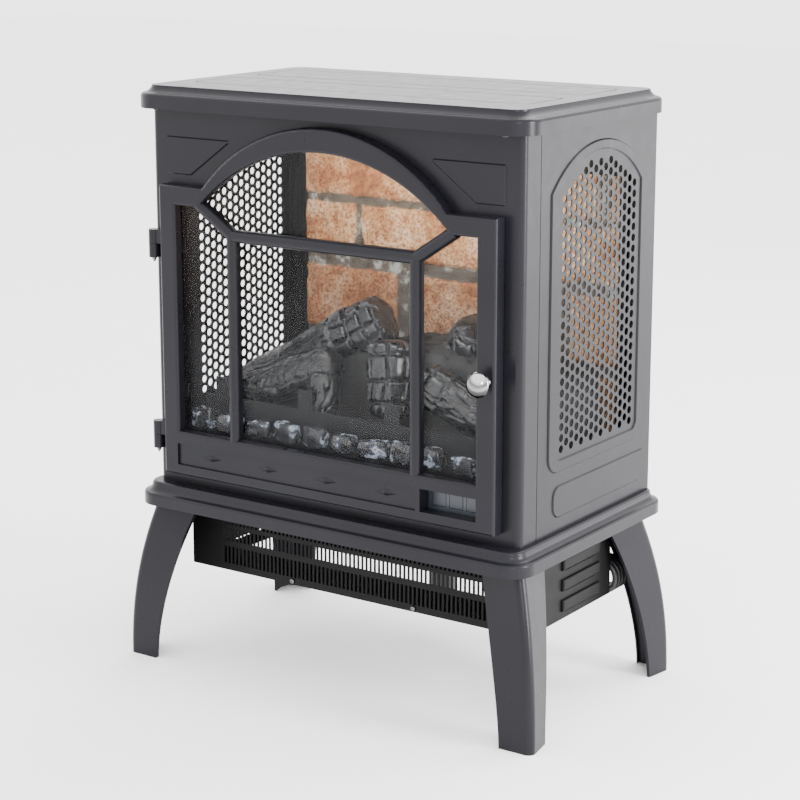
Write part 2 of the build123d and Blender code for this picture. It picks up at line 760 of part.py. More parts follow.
def make_door_frame():
    """Cast-look door: arched frame, glazing bars, low rail with diamonds and a window."""
    outer = make_face(
        arch_wire(DOOR_HALF_W, DOOR_BOTTOM, DOOR_SHOULDER, DOOR_ARCH_HALF, DOOR_APEX)
    )
    inner = make_face(
        arch_wire(
            WINDOW_HALF_W, WINDOW_BOTTOM, WINDOW_SHOULDER, WINDOW_ARCH_HALF, WINDOW_APEX
        )
    )
    thickness = DOOR_BACK - DOOR_FRONT
    frame = extrude(front_plane(DOOR_BACK) * outer, thickness)
    frame = fillet(frame.faces().sort_by(Axis.Y)[0].edges(), 3.6)
    frame = frame - extrude(front_plane(DOOR_BACK + 5) * inner, thickness + 10)
    lip = frame.faces().sort_by(Axis.Y)[0].inner_wires()[0].edges()
    frame = fillet(lip, 3.0)
    frame = frame - extrude(front_plane(DOOR_BACK + 5) * glass_face(6.0), 10.0)
    corner = (MUNTIN_X, MUNTIN_Z)
    shoulder = (WINDOW_ARCH_HALF + 3, WINDOW_SHOULDER + 3)
    bars = [((-corner[0], corner[1]), corner)]
    for side in (-1, 1):
        bars.append(((side * corner[0], WINDOW_BOTTOM - 2), (side * corner[0], corner[1])))
        bars.append(((side * corner[0], corner[1]), (side * shoulder[0], shoulder[1])))
    for start, end in bars:
        frame = frame + muntin(start, end)
    recess = block(-181, 112, DOOR_FRONT - 1, DOOR_FRONT + 2.4, 214.5, 237.0)
    diamonds = [diamond(x, DOOR_FRONT + 2.4, 226.5) for x in DIAMOND_XS]
    frame = frame - recess + diamonds
    frame = frame - block(117.0, 180.0, DOOR_FRONT - 1, DOOR_BACK + 1, 214.5, 237.0)
    frame = frame - rod_y(KNOB_X, DOOR_FRONT - 1, DOOR_BACK + 1, KNOB_Z, 2.1)
    frame = frame - rod_y(KNOB_X, DOOR_BACK - 4.0, DOOR_BACK + 1, KNOB_Z, 4.4)
    return frame - block(183, 195, DOOR_BACK - 0.9, DOOR_BACK + 1, 385, 411)


def glass_face(extra):
    """The window's outline, larger all round by the given amount."""
    return make_face(
        arch_wire(
            WINDOW_HALF_W + extra,
            WINDOW_BOTTOM - extra,
            WINDOW_SHOULDER + extra,
            WINDOW_ARCH_HALF,
            WINDOW_APEX + extra,
        )
    )


def diamond(x, y, z):
    """A long, low pyramid that stands out of the rail."""
    base = [(-14.0, 0), (0, -3.8), (14.0, 0), (0, 3.8)]
    low = outline([(x + dx, z + dz) for dx, dz in base])
    tip = outline([(x + dx * 0.04, z + dz * 0.04) for dx, dz in base])
    return loft([front_plane(y + 0.2) * low, front_plane(y - 3.0) * tip], ruled=True)


def make_door_glass():
    """One sheet of glass in the door's rebate."""
    return extrude(front_plane(GLASS_Y + 3.0) * glass_face(5.0), 3.0)


def make_glass_clips():
    """Four sheet clips that hold the glass against the bars."""
    clips = []
    for side in (-1, 1):
        for z in (290.0, 440.0):
            x0, x1 = sorted((side * 176.5, side * 184.2))
            clips.append(block(x0, x1, GLASS_Y + 3.0, GLASS_Y + 3.8, z - 7, z + 7))
    return clips


def make_door_knob():
    """Turned mushroom knob on a short neck."""
    top = KNOB_LENGTH
    lines = [
        Line((0, 0), (6.2, 0)),
        Line((6.2, 0), (5.6, 1.8)),
        ThreePointArc((5.6, 1.8), (4.6, 5.0), (5.6, 8.2)),
        ThreePointArc((5.6, 8.2), (9.8, 10.2), (12.2, 13.6)),
        ThreePointArc((12.2, 13.6), (7.3, top - 1.9), (1.0, top)),
        Line((1.0, top), (0, top)),
        Line((0, top), (0, 0)),
    ]
    profile = make_face(Wire([line.edge() for line in lines]))
    knob = revolve(Plane.XZ * profile, Axis.Z)
    knob = knob - Pos(0, 0, 4) * Cylinder(1.5, 10)
    return Pos(KNOB_X, DOOR_FRONT, KNOB_Z) * Rot(90, 0, 0) * knob


def make_knob_screw():
    """Screw through the door into the knob, its head sunk in the door's back."""
    y = DOOR_BACK - 4.0
    head = rod_y(KNOB_X, y, y + 2.6, KNOB_Z, 3.8)
    slot = block(KNOB_X - 2.8, KNOB_X + 2.8, y + 1.4, y + 3, KNOB_Z - 0.5, KNOB_Z + 0.5)
    return head - slot + rod_y(KNOB_X, DOOR_FRONT - 8.5, y + 0.1, KNOB_Z, 1.5)


def make_hinge_body_leaves():
    """Lower knuckles of both hinges, each on a foot fixed to the front shell."""
    leaves = []
    for z in HINGE_HEIGHTS:
        knuckle = rod_z(HINGE_X, HINGE_Y, z, z + KNUCKLE, 5.4)
        foot = block(-216.5, -206.5, HINGE_Y + 2, BODY_FRONT, z, z + KNUCKLE)
        foot = foot - block(-220, -213.0, BODY_FRONT - 1.5, BODY_FRONT + 1, z - 1, z + 20)
        leaves.append(knuckle + foot)
    pins = [rod_z(HINGE_X, HINGE_Y, z - 1, z + 20, 2.0) for z in HINGE_HEIGHTS]
    return [leaf - pin for leaf, pin in zip(leaves, pins)]


def make_hinge_door_leaves():
    """Upper knuckles of both hinges, each on an arm to the door's edge."""
    leaves = []
    for z in HINGE_HEIGHTS:
        low = z + KNUCKLE + 0.3
        high = low + KNUCKLE
        knuckle = rod_z(HINGE_X, HINGE_Y, low, high, 5.4)
        arm = block(HINGE_X, -DOOR_HALF_W, HINGE_Y - 2.5, HINGE_Y + 3.5, low, high)
        bore = rod_z(HINGE_X, HINGE_Y, low - 1, high - 2.0, 2.05)
        leaves.append(knuckle + arm - bore)
    return leaves


def make_hinge_pins():
    """Pins pressed into the lower knuckles, with a pointed end below."""
    pins = []
    for z in HINGE_HEIGHTS:
        pin = rod_z(HINGE_X, HINGE_Y, z, z + 2 * KNUCKLE - 2.5, 2.0)
        tip = Pos(HINGE_X, HINGE_Y, z - 2.4) * Cone(0.8, 3.0, 4.8)
        pins.append(pin + tip)
    return pins


def make_door_catch():
    """Magnet in a holder behind the front shell."""
    y0 = BODY_FRONT + SHEET
    holder = block(184, 196, y0, y0 + 9.0, 380, 416)
    return holder - block(186.5, 193.5, y0 - 1, y0 + 1.0, 386, 410)


def make_catch_striker():
    """Thin steel plate let into the door's back."""
    plate = block(183.2, 194.8, DOOR_BACK - 0.9, DOOR_BACK - 0.1, 385.2, 410.8)
    return plate - rod_y(189.0, DOOR_BACK - 2, DOOR_BACK + 1, 398.0, 1.2)


# ---------------------------------------------------------------- controls

def make_control_panel():
    """Panel let into the front shell, with three square key holes and board posts."""
    y = BODY_FRONT
    panel = block(112.3, 183.7, y - 0.2, y + SHEET, 211.3, 240.7)
    panel = panel + block(109, 187, y + SHEET, y + SHEET + 2.0, 208, 243)
    hole = KEY_SIZE / 2 + 0.3
    for x in KEY_XS:
        panel = panel - block(x - hole, x + hole, y - 2, y + 5, KEY_Z - hole, KEY_Z + hole)
    for x in (113.0, 183.0):
        for z in (212.0, 239.0):
            panel = panel + rod_y(x, y + SHEET + 1.5, y + 13.0, z, 2.4)
    return panel


def make_key(x):
    """A flat push key with a retaining step and a stem behind."""
    half = KEY_SIZE / 2
    y = BODY_FRONT
    cap = block(x - half, x + half, y - 0.6, y + 3.4, KEY_Z - half, KEY_Z + half)
    cap = fillet(cap.faces().sort_by(Axis.Y)[0].edges(), 0.5)
    step = block(x - 9, x + 9, y + 3.4, y + 4.6, KEY_Z - 9, KEY_Z + 9)
    stem = rod_y(x, y + 4.5, SWITCH_Y - KEY_TRAVEL - GAP, KEY_Z, 2.2)
    return cap + step + stem


def make_circuit_board():
    """Control board with key switches, a relay and small parts."""
    y = BODY_FRONT + 13.0
    board = block(108, 188, y, y + 1.6, 207, 243.5)
    for x in KEY_XS:
        board = board + block(x - 3, x + 3, SWITCH_Y, y, KEY_Z - 3, KEY_Z + 3)
    board = board + block(112, 131, y + 1.6, y + 17, 212, 227)
    board = board + block(136, 152, y + 1.6, y + 14, 212, 224)
    for x in (158.0, 168.0, 178.0):
        board = board + rod_y(x, y + 1.6, y + 12.0, 222.0, 3.2)
    return board


# ---------------------------------------------------------------- heater unit


def make_heater_box():
    """Sheet box under the tray: closed sides and back, open front, intake in its floor."""
    w = BOX_HALF_W
    t = 1.0
    front = BOX_FRONT + 1.2
    box = block(-w, w, front, BOX_BACK, BOX_BOTTOM, BOX_TOP)
    box = box - block(-w + t, w - t, front - 1, BOX_BACK - t, BOX_BOTTOM + t, BOX_TOP + 1)
    box = box - block(-INTAKE_HALF_W, INTAKE_HALF_W, -16, 36, BOX_BOTTOM - 1, BOX_BOTTOM + 3)
    flanges = block(-w, -w + 12, front, BOX_BACK, BOX_TOP - t, BOX_TOP)
    flanges = flanges + block(w - 12, w, front, BOX_BACK, BOX_TOP - t, BOX_TOP)
    box = box + flanges
    for side in (-1, 1):
        for z in (105.0, 126.0, 147.0):
            louvre = Pos(side * (w + 0.5), 9.5, z) * Box(5.0, 73.0, 12.0)
            outside = louvre.faces().sort_by(Axis.X)[-1 if side > 0 else 0]
            box = box + fillet(outside.edges(), 2.3)
            slit = block(-w - 8, w + 8, -20, 39, z - 7.5, z - 5.6)
            box = box - slit
    box = box + make_heater_tab()
    box = box + block(TIE_X - 8, TIE_X + 8, BOX_BACK, HANK_Y[0] - TIE_SHEET, 94, 114)
    return box - rod_y(RELIEF_X, BOX_BACK - 5, BOX_BACK + 5, RELIEF_Z, 6.0)


def make_heater_grille():
    """Front grille of the heater box: three rows of upright slots."""
    edge = Polyline(
        (-BOX_HALF_W, BOX_BOTTOM),
        (BOX_HALF_W, BOX_BOTTOM),
        (BOX_HALF_W, TRAY_UNDER - GAP),
        (-BOX_HALF_W, TRAY_UNDER - GAP),
        close=True,
    )
    count = round(2 * SLOT_HALF_W / SLOT_PITCH)
    holes = []
    for low, high in ((98.5, 117.0), (123.5, 136.5), (141.0, 154.0)):
        for index in range(count + 1):
            x = -SLOT_HALF_W + index * SLOT_PITCH
            middle = Pos(x, (low + high) / 2)
            holes.append(Wire((middle * Rectangle(SLOT_W, high - low)).edges()))
    for x in (-75.0, 75.0):
        holes.append(Wire(Pos(x, 94.8) * Edge.make_circle(1.3)))
    face = Face(Wire(edge.edges()), holes)
    return extrude(front_plane(BOX_FRONT + 1.2) * face, 1.2)


def make_grille_screws():
    """Two small screws at the grille's lower edge."""
    return [pan_screw_front(x, BOX_FRONT, 94.8) for x in (-75.0, 75.0)]


def make_heater_tab():
    """Pressed tab under the heater box's front edge."""
    points = [(-99, 91), (-99, 85), (-96.5, 82.5), (-93.5, 83.5), (-77, 91)]
    face = outline(points)
    tab = extrude(front_plane(BOX_FRONT + 2.4) * face, 1.2)
    return tab + block(-99, -77, BOX_FRONT + 1.2, BOX_FRONT + 12, 89.8, 91)


def make_heating_element():
    """Finned heater core: two tubes through thin fins."""
    core = rod_x(-151, 151, -51, 141, 3.0) + rod_x(-151, 151, -51, 157, 3.0)
    for index in range(31):
        x = -144.0 + index * 9.6
        core = core + block(x - 0.4, x + 0.4, -57, -45, 133, 165)
    return core


def make_element_frame():
    """Two end brackets that hang the heater core from the tray."""
    brackets = []
    for side in (-1, 1):
        x0, x1 = sorted((side * 151.0, side * 153.0))
        plate = block(x0, x1, -59, -43, 131, BOX_TOP)
        x2, x3 = sorted((side * 151.0, side * 163.0))
        plate = plate + block(x2, x3, -59, -43, BOX_TOP - 1.2, BOX_TOP)
        brackets.append(plate)
    return brackets


def make_blower_wheel():
    """Cross-flow wheel: end and middle discs, thin blades and a shaft."""
    wheel = rod_x(-166, 162, ROTOR_Y, ROTOR_Z, 2.5)
    for x in (-150.0, -75.0, 0.0, 75.0, 150.0):
        wheel = wheel + rod_x(x - 0.8, x + 0.8, ROTOR_Y, ROTOR_Z, ROTOR_R)
    blade = Pos(0, 0, ROTOR_R - 3.2) * Rot(35, 0, 0) * Box(300.0, 0.9, 5.6)
    for index in range(18):
        turn = Pos(0, ROTOR_Y, ROTOR_Z) * Rot(index * 20.0, 0, 0)
        wheel = wheel + turn * blade
    return wheel


def make_blower_motor():
    """Shaded-pole motor at the wheel's right end, on a plate to the box's back."""
    motor = rod_x(163, 196, ROTOR_Y, ROTOR_Z, 17.0)
    motor = motor + block(168, 190, ROTOR_Y - 22, ROTOR_Y + 22, ROTOR_Z - 12, ROTOR_Z + 12)
    motor = motor + block(160.5, 163, ROTOR_Y - 20, BOX_BACK - 1, 130, 176)
    return motor - rod_x(150, 168, ROTOR_Y, ROTOR_Z, 2.56)


def blower_bearing():
    """Bearing plate at the wheel's left end, folded down from the scroll's roof."""
    plate = block(-164, -161, ROTOR_Y - 12, ROTOR_Y + 24, 136, ROTOR_Z + 22)
    plate = plate + rod_x(-168, -157, ROTOR_Y, ROTOR_Z, 6.0)
    return plate - rod_x(-180, -150, ROTOR_Y, ROTOR_Z, 2.56)


def make_blower_scroll():
    """Curved sheet over and behind the wheel that turns the air to the front."""
    scroll = rod_x(-154, 154, ROTOR_Y, ROTOR_Z, 22.0)
    scroll = scroll - rod_x(-160, 160, ROTOR_Y, ROTOR_Z, 21.0)
    scroll = scroll - block(-160, 160, ROTOR_Y - 40, ROTOR_Y, 100, 200)
    scroll = scroll - block(-160, 160, ROTOR_Y - 40, ROTOR_Y + 40, 100, ROTOR_Z - 6)
    top = ROTOR_Z + 21.0
    scroll = scroll + block(-164, 154, -40, ROTOR_Y + 0.5, top, top + 1.0)
    hanger = block(-154, 154, ROTOR_Y - 1, ROTOR_Y + 1, top + 0.9, BOX_TOP)
    return scroll + hanger + blower_bearing()


# ---------------------------------------------------------------- power cord


def make_strain_relief():
    """Tapered bush where the cord leaves the heater box."""
    y = BOX_BACK
    relief = rod_y(RELIEF_X, y, y + 2.2, RELIEF_Z, 9.0)
    relief = relief + rod_y(RELIEF_X, y - 3, y + 0.5, RELIEF_Z, 5.9)
    length = RELIEF_LENGTH - 2.0
    cone = Pos(RELIEF_X, y + 2.0 + length / 2, RELIEF_Z) * Rot(-90, 0, 0)
    return relief + cone * Cone(6.6, 4.2, length)


def corner_radii(route):
    """Arc radius at each inner corner, from the shorter run beside it."""
    radii = []
    for before, here, after in zip(route, route[1:], route[2:]):
        run_in = Vector(*here) - Vector(*before)
        run_out = Vector(*after) - Vector(*here)
        half_turn = math.radians(run_in.get_angle(run_out)) / 2
        shorter = min(run_in.length, run_out.length)
        radii.append(0.45 * shorter / math.tan(half_turn))
    return radii


def cord_tube(route):
    """A round tube along straight runs joined by tangent arcs."""
    radii = corner_radii(route)
    print("cord radii", [round(radius, 1) for radius in radii])
    path = FilletPolyline(*route, radius=radii)
    wire = Wire(path.edges())
    start = Plane(origin=wire @ 0, z_dir=wire % 0)
    tube = sweep(start * Circle(CORD_D / 2), path=wire)
    expected = math.pi * (CORD_D / 2) ** 2 * wire.length
    print("cord length", round(wire.length, 1), "volume share", tube.volume / expected)
    return tube


def hank_outline(extra):
    """The hank's long rounded outline, in the X-Z plane."""
    width = HANK_X[1] - HANK_X[0] + 2 * extra
    height = HANK_Z[1] - HANK_Z[0] + 2 * extra
    middle = Pos((HANK_X[0] + HANK_X[1]) / 2, (HANK_Z[0] + HANK_Z[1]) / 2)
    return middle * SlotOverall(width, height)


def make_cord_hank():
    """Outer shape of the tied hank of spare cord behind the heater box."""
    return extrude(front_plane(HANK_Y[1]) * hank_outline(0), HANK_Y[1] - HANK_Y[0])


def make_cord_tie():
    """Flat band round the middle of the hank, against the lug on the heater box."""
    t = TIE_SHEET
    y0, y1 = HANK_Y
    z0, z1 = HANK_Z
    band = block(TIE_X - 5, TIE_X + 5, y0 - t, y1 + t, z0 - t, z1 + t)
    band = fillet(band.edges().filter_by(Axis.X), 2.0)
    return band - block(TIE_X - 6, TIE_X + 6, y0, y1, z0, z1)


def make_plug():
    """Moulded three-pin plug that hangs on the cord's end, pins down."""
    x, y, top = PLUG_ROUTE[-1]
    collar = Pos(x, y, top - 6) * Cone(8.0, 5.0, 12.0)
    body = Pos(x, y, top - 25) * Box(25.0, 21.0, 28.0)
    body = fillet(body.edges().filter_by(Axis.Z), 6.0)
    body = fillet(body.faces().sort_by(Axis.Z)[-1].edges(), 3.0)
    plug = collar + body
    low = top - 39.0
    for dx in (-6.35, 6.35):
        plug = plug + block(x + dx - 0.75, x + dx + 0.75, y - 5, y + 1.5, low - 16, low + 1)
    return plug + rod_z(x, y + 6.0, low - 19, low + 1, 2.4)


# ---------------------------------------------------------------- all nodes


def nodes():
    """Every node's name with its solid or list of solids."""
    right_front = make_leg(FOOT_FRONT, -1)
    right_rear = make_leg(FOOT_BACK, 1)
    side = make_side_panel()
    made = {
        "top_lid": make_top_lid(),
        "lid_screws": make_lid_screws(),
        "base_tray": make_base_tray(),
        "leg_front_right": right_front,
        "leg_front_left": mirrored(right_front),
        "leg_rear_right": right_rear,
        "leg_rear_left": mirrored(right_rear),
        "leg_screws": make_leg_screws(),
        "front_panel": make_front_panel(),
        "side_panel_right": side,
        "side_panel_left": mirrored(side),
        "back_panel": make_back_panel(),
        "back_screws": make_back_screws(),
        "screw_strips": make_screw_strips(),
        "firebox_floor": make_firebox_floor(),
        "firebox_ceiling": make_firebox_ceiling(),
        "backdrop_frame": make_backdrop_frame(),
        "brick_backdrop": make_brick_backdrop(),
        "ember_bed": make_ember_bed(),
        "ember_chunks": make_ember_chunks(),
        "fire_grate": make_fire_grate(),
        "light_box": make_light_box(),
        "flame_spindle": make_flame_spindle(),
        "spindle_motor": make_spindle_motor(),
        "led_strip": make_led_strip(),
        "door_frame": make_door_frame(),
        "door_glass": make_door_glass(),
        "glass_clips": make_glass_clips(),
        "door_knob": make_door_knob(),
        "knob_screw": make_knob_screw(),
        "hinge_body_leaves": make_hinge_body_leaves(),
        "hinge_door_leaves": make_hinge_door_leaves(),
        "hinge_pins": make_hinge_pins(),
        "door_catch": make_door_catch(),
        "catch_striker": make_catch_striker(),
        "control_panel": make_control_panel(),
        "key_power": make_key(KEY_XS[0]),
        "key_flame": make_key(KEY_XS[1]),
        "key_heat": make_key(KEY_XS[2]),
        "circuit_board": make_circuit_board(),
        "heater_box": make_heater_box(),
        "heater_grille": make_heater_grille(),
        "grille_screws": make_grille_screws(),
        "heating_element": make_heating_element(),
        "element_frame": make_element_frame(),
        "blower_wheel": make_blower_wheel(),
        "blower_motor": make_blower_motor(),
        "blower_scroll": make_blower_scroll(),
        "strain_relief": make_strain_relief(),
        "power_cord": cord_tube(CORD_ROUTE),
        "plug_cord": cord_tube(PLUG_ROUTE),
        "cord_hank": make_cord_hank(),
        "cord_tie": make_cord_tie(),
        "plug": make_plug(),
    }
    made.update(make_log_pile())
    return made


def main():
    """Write every node to its own STEP file."""
    os.makedirs("parts", exist_ok=True)
    for name, shape in nodes().items():
        if isinstance(shape, (list, tuple)):
            shape = Compound(children=list(shape))
        export_step(Pos(0, ORIGIN_SHIFT, 0) * shape, f"parts/{name}.step")


main()
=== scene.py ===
"""Looks of a stove-shaped electric fireplace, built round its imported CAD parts."""

import math

import bpy
from mathutils import Matrix, Vector, noise


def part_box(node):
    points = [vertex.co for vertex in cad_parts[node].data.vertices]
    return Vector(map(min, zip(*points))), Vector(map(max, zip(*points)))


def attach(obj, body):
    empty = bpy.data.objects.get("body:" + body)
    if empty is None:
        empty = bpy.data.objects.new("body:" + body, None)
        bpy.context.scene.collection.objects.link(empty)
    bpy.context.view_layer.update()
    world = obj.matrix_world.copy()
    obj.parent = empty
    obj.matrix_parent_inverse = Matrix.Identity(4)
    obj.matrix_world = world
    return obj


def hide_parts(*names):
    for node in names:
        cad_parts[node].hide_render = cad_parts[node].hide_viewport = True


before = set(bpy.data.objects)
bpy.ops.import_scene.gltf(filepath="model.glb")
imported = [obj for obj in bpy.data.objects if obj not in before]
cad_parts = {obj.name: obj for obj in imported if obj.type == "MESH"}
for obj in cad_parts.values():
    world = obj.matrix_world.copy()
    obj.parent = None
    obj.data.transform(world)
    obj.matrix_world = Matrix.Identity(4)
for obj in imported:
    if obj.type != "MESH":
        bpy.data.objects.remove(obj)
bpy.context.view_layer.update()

MM = 0.001
FRONT_OF_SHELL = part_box("front_panel")[0][1]
BACK_OF_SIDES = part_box("side_panel_right")[1][1]
MIDDLE_Y = (FRONT_OF_SHELL + BACK_OF_SIDES) / 2
UP = Vector((0, 0, 1))

# Camera: its place in millimetres from the middle of the body, and its angles in degrees.
CAMERA_PLACE = (1199.8, -1752.3, 798.4)
CAMERA_DOWN = 12.459
CAMERA_TURN = 34.448
CAMERA_LENS = 95.94
CAMERA_SENSOR = 36.0
CAMERA_SHIFT_Y = -0.06

# Studio lights, in metres and watts: name, place, target, (width, height) and power.
SURROUND_STRENGTH = 3.4
KEY_LIGHT = ("key", (0.3, 1.6, 2.4), (0, 0, 0.5), (2.2, 1.2), 50)
RIGHT_LIGHT = ("right", (2.2, 0.2, 0.8), (0.2, 0, 0.30), (0.6, 1.2), 90)
SHEEN_LIGHT = ("side_sheen", (1.45, 1.70, 0.36), (0.22, 0, 0.26), (1.0, 0.6), 12)
EDGE_LIGHT = ("edge", (1.9, -1.9, 1.2), (0.2, 0, 0.4), (0.25, 0.5), 22)

# Lamps in the firebox: place and target in millimetres, then size in metres and power.
FIRE_LAMP = ((-10, 24, 506), (-10, 98, 490), (0.34, 0.02), 0.34)
LOG_LAMP = ((-10, -88, 504), (-10, 30, 345), (0.34, 0.03), 0.5)
WARM_WHITE = (1.0, 0.84, 0.60)

FLOOR_REACH = 8.0

# Paint, and the sockets of a Mix node that mixes colours.
COAT_COLOUR = (0.0064, 0.0062, 0.0086)
COAT_ROUGHNESS = 0.29
# Painted shade: the unlit black put on the shell's faces turned inward.
UNLIT_BLACK = (0.0016, 0.0016, 0.0017)
INNER_BLACK = (0.0028, 0.0028, 0.003)
MIX_LOW = 6
MIX_HIGH = 7
MIX_RESULT = 2

# Brick backdrop, in millimetres: each course's lowest and highest Z, the X of one of its upright
# joints, the length of a brick with a joint, and the width of each course's joints.
COURSES = [(206.0, 306.0), (318.0, 388.0), (401.0, 458.0), (467.0, 540.0)]
COURSE_JOINTS = [-150.0, -67.0, -126.0, -20.0]
BRICK_LENGTH = 196.0
JOINT_WIDTHS = [10.0, 15.0, 8.0, 10.0]

# The grid's spacing, how far bricks stand out of the mortar, and how deep the mortar lies.
BRICK_STEP = 1.5
BRICK_RAISE = 3.4
MORTAR_INSET = 0.6

# Logs: spacing of rings in millimetres, and points round a ring. The skin starts from a share of
# the radius, and one skin blends into the next over a share of the length to either side.
LOG_STEP = 1.6
LOG_SIDES = 104
SKIN_REACH = 0.86
SKIN_BLEND = 0.06

# Blocks of cracked char, in millimetres along a log and round it.
CHAR_ROW = 21.0
CHAR_COLUMN = 23.0

# Ash bank behind the logs, in millimetres from the middle of the body: its front and back Y, its
# top's outline as X and Z, the Z where it starts, and the grid's spacing.
BANK_FRONT = -26.0
BANK_BACK = 80.0
BANK_TOP = [(-182, 250), (-150, 290), (-16, 338), (90, 336), (188, 322), (192, 250)]
BANK_FOOT = 252.0
ASH_STEP = 2.2

# Coals, in millimetres, with the rings of each and the points round a ring.
COAL_COUNT = 11
COAL_FIRST_X = -178.0
COAL_PITCH = 35.6
COAL_HALF_SIZES = (14.6, 7.6, 10.2)
COAL_RINGS = 25
COAL_SIDES = 40

# Cord, in millimetres: its width and its routes to the hank and on to the plug. The hank has whole
# turns and some extra points, and its ends bulge by a factor so that the smooth line fills the box.
CORD_WIDTH = 6.8
CORD_ROUTE = [
    (-84.0, 90.5, 150.0),
    (-84.0, 107.0, 148.5),
    (-78.0, 121.7, 145.0),
    (-66.7, 132.9, 140.0),
    (-52.0, 139.0, 133.5),
    (-35.0, 140.5, 126.0),
    (-17.0, 136.5, 118.5),
    (-1.0, 127.5, 111.5),
    (14.0, 116.5, 106.5),
    (28.5, 105.5, 103.0),
]
PLUG_ROUTE = [
    (29.0, 84.0, 119.5),
    (13.0, 84.0, 114.5),
    (2.0, 84.0, 102.0),
    (-3.0, 84.0, 86.0),
]
HANK_TURNS = 3
HANK_EXTRA = 9
HANK_BULGE = 1.07


def at(x, y, z):
    """A place given in millimetres from the middle of the body, as metres in the frame."""
    return Vector((x * MM, MIDDLE_Y + y * MM, z * MM))


# ---------------------------------------------------------------- camera, lights, floor


def make_camera():
    """The camera, at the photograph's viewing angle."""
    data = bpy.data.cameras.new("camera")
    data.lens = CAMERA_LENS
    data.sensor_width = CAMERA_SENSOR
    data.shift_y = CAMERA_SHIFT_Y
    data.clip_end = 50.0
    camera = bpy.data.objects.new("camera", data)
    camera.location = at(*CAMERA_PLACE)
    camera.rotation_euler = (math.radians(90 - CAMERA_DOWN), 0, math.radians(CAMERA_TURN))
    bpy.context.scene.collection.objects.link(camera)
    bpy.context.scene.camera = camera


def make_area_light(name, place, target, size, power, colour=(1, 1, 1)):
    """A soft rectangular light aimed at a point."""
    data = bpy.data.lights.new(name, "AREA")
    data.shape = "RECTANGLE"
    data.size, data.size_y = size
    data.energy = power
    data.color = colour
    light = bpy.data.objects.new(name, data)
    light.location = place
    direction = Vector(target) - Vector(place)
    light.rotation_euler = direction.to_track_quat("-Z", "Y").to_euler()
    bpy.context.scene.collection.objects.link(light)
    return light


def make_lights():
    """A pale surround, four soft studio lights and two small lamps inside the firebox."""
    world = bpy.data.worlds.new("surround")
    world.use_nodes = True
    background = world.node_tree.nodes["Background"]
    background.inputs["Color"].default_value = (1.0, 1.0, 1.0, 1.0)
    background.inputs["Strength"].default_value = SURROUND_STRENGTH
    bpy.context.scene.world = world
    make_area_light(*KEY_LIGHT)
    make_area_light(*RIGHT_LIGHT)
    sheen = make_area_light(*SHEEN_LIGHT)
    sheen.visible_camera = False
    make_area_light(*EDGE_LIGHT)
    place, target, size, power = FIRE_LAMP
    make_area_light("fire_lamp", at(*place), at(*target), size, power, WARM_WHITE)
    place, target, size, power = LOG_LAMP
    make_area_light("log_lamp", at(*place), at(*target), size, power)


def make_floor():
    """A plain pale floor."""
    mesh = bpy.data.meshes.new("floor")
    near, far = -FLOOR_REACH, FLOOR_REACH
    corners = [(near, near, 0), (far, near, 0), (far, far, 0), (near, far, 0)]
    mesh.from_pydata(corners, [], [(0, 1, 2, 3)])
    floor = bpy.data.objects.new("floor", mesh)
    bpy.context.scene.collection.objects.link(floor)
    graph = Graph("floor_paper", (0.95, 0.95, 0.95), 0.9)
    grain = graph.noise(3.0)
    graph.colour(grain, [(0.3, (0.94, 0.94, 0.94)), (0.7, (0.96, 0.96, 0.96))])
    mesh.materials.append(graph.material)


# ---------------------------------------------------------------- materials


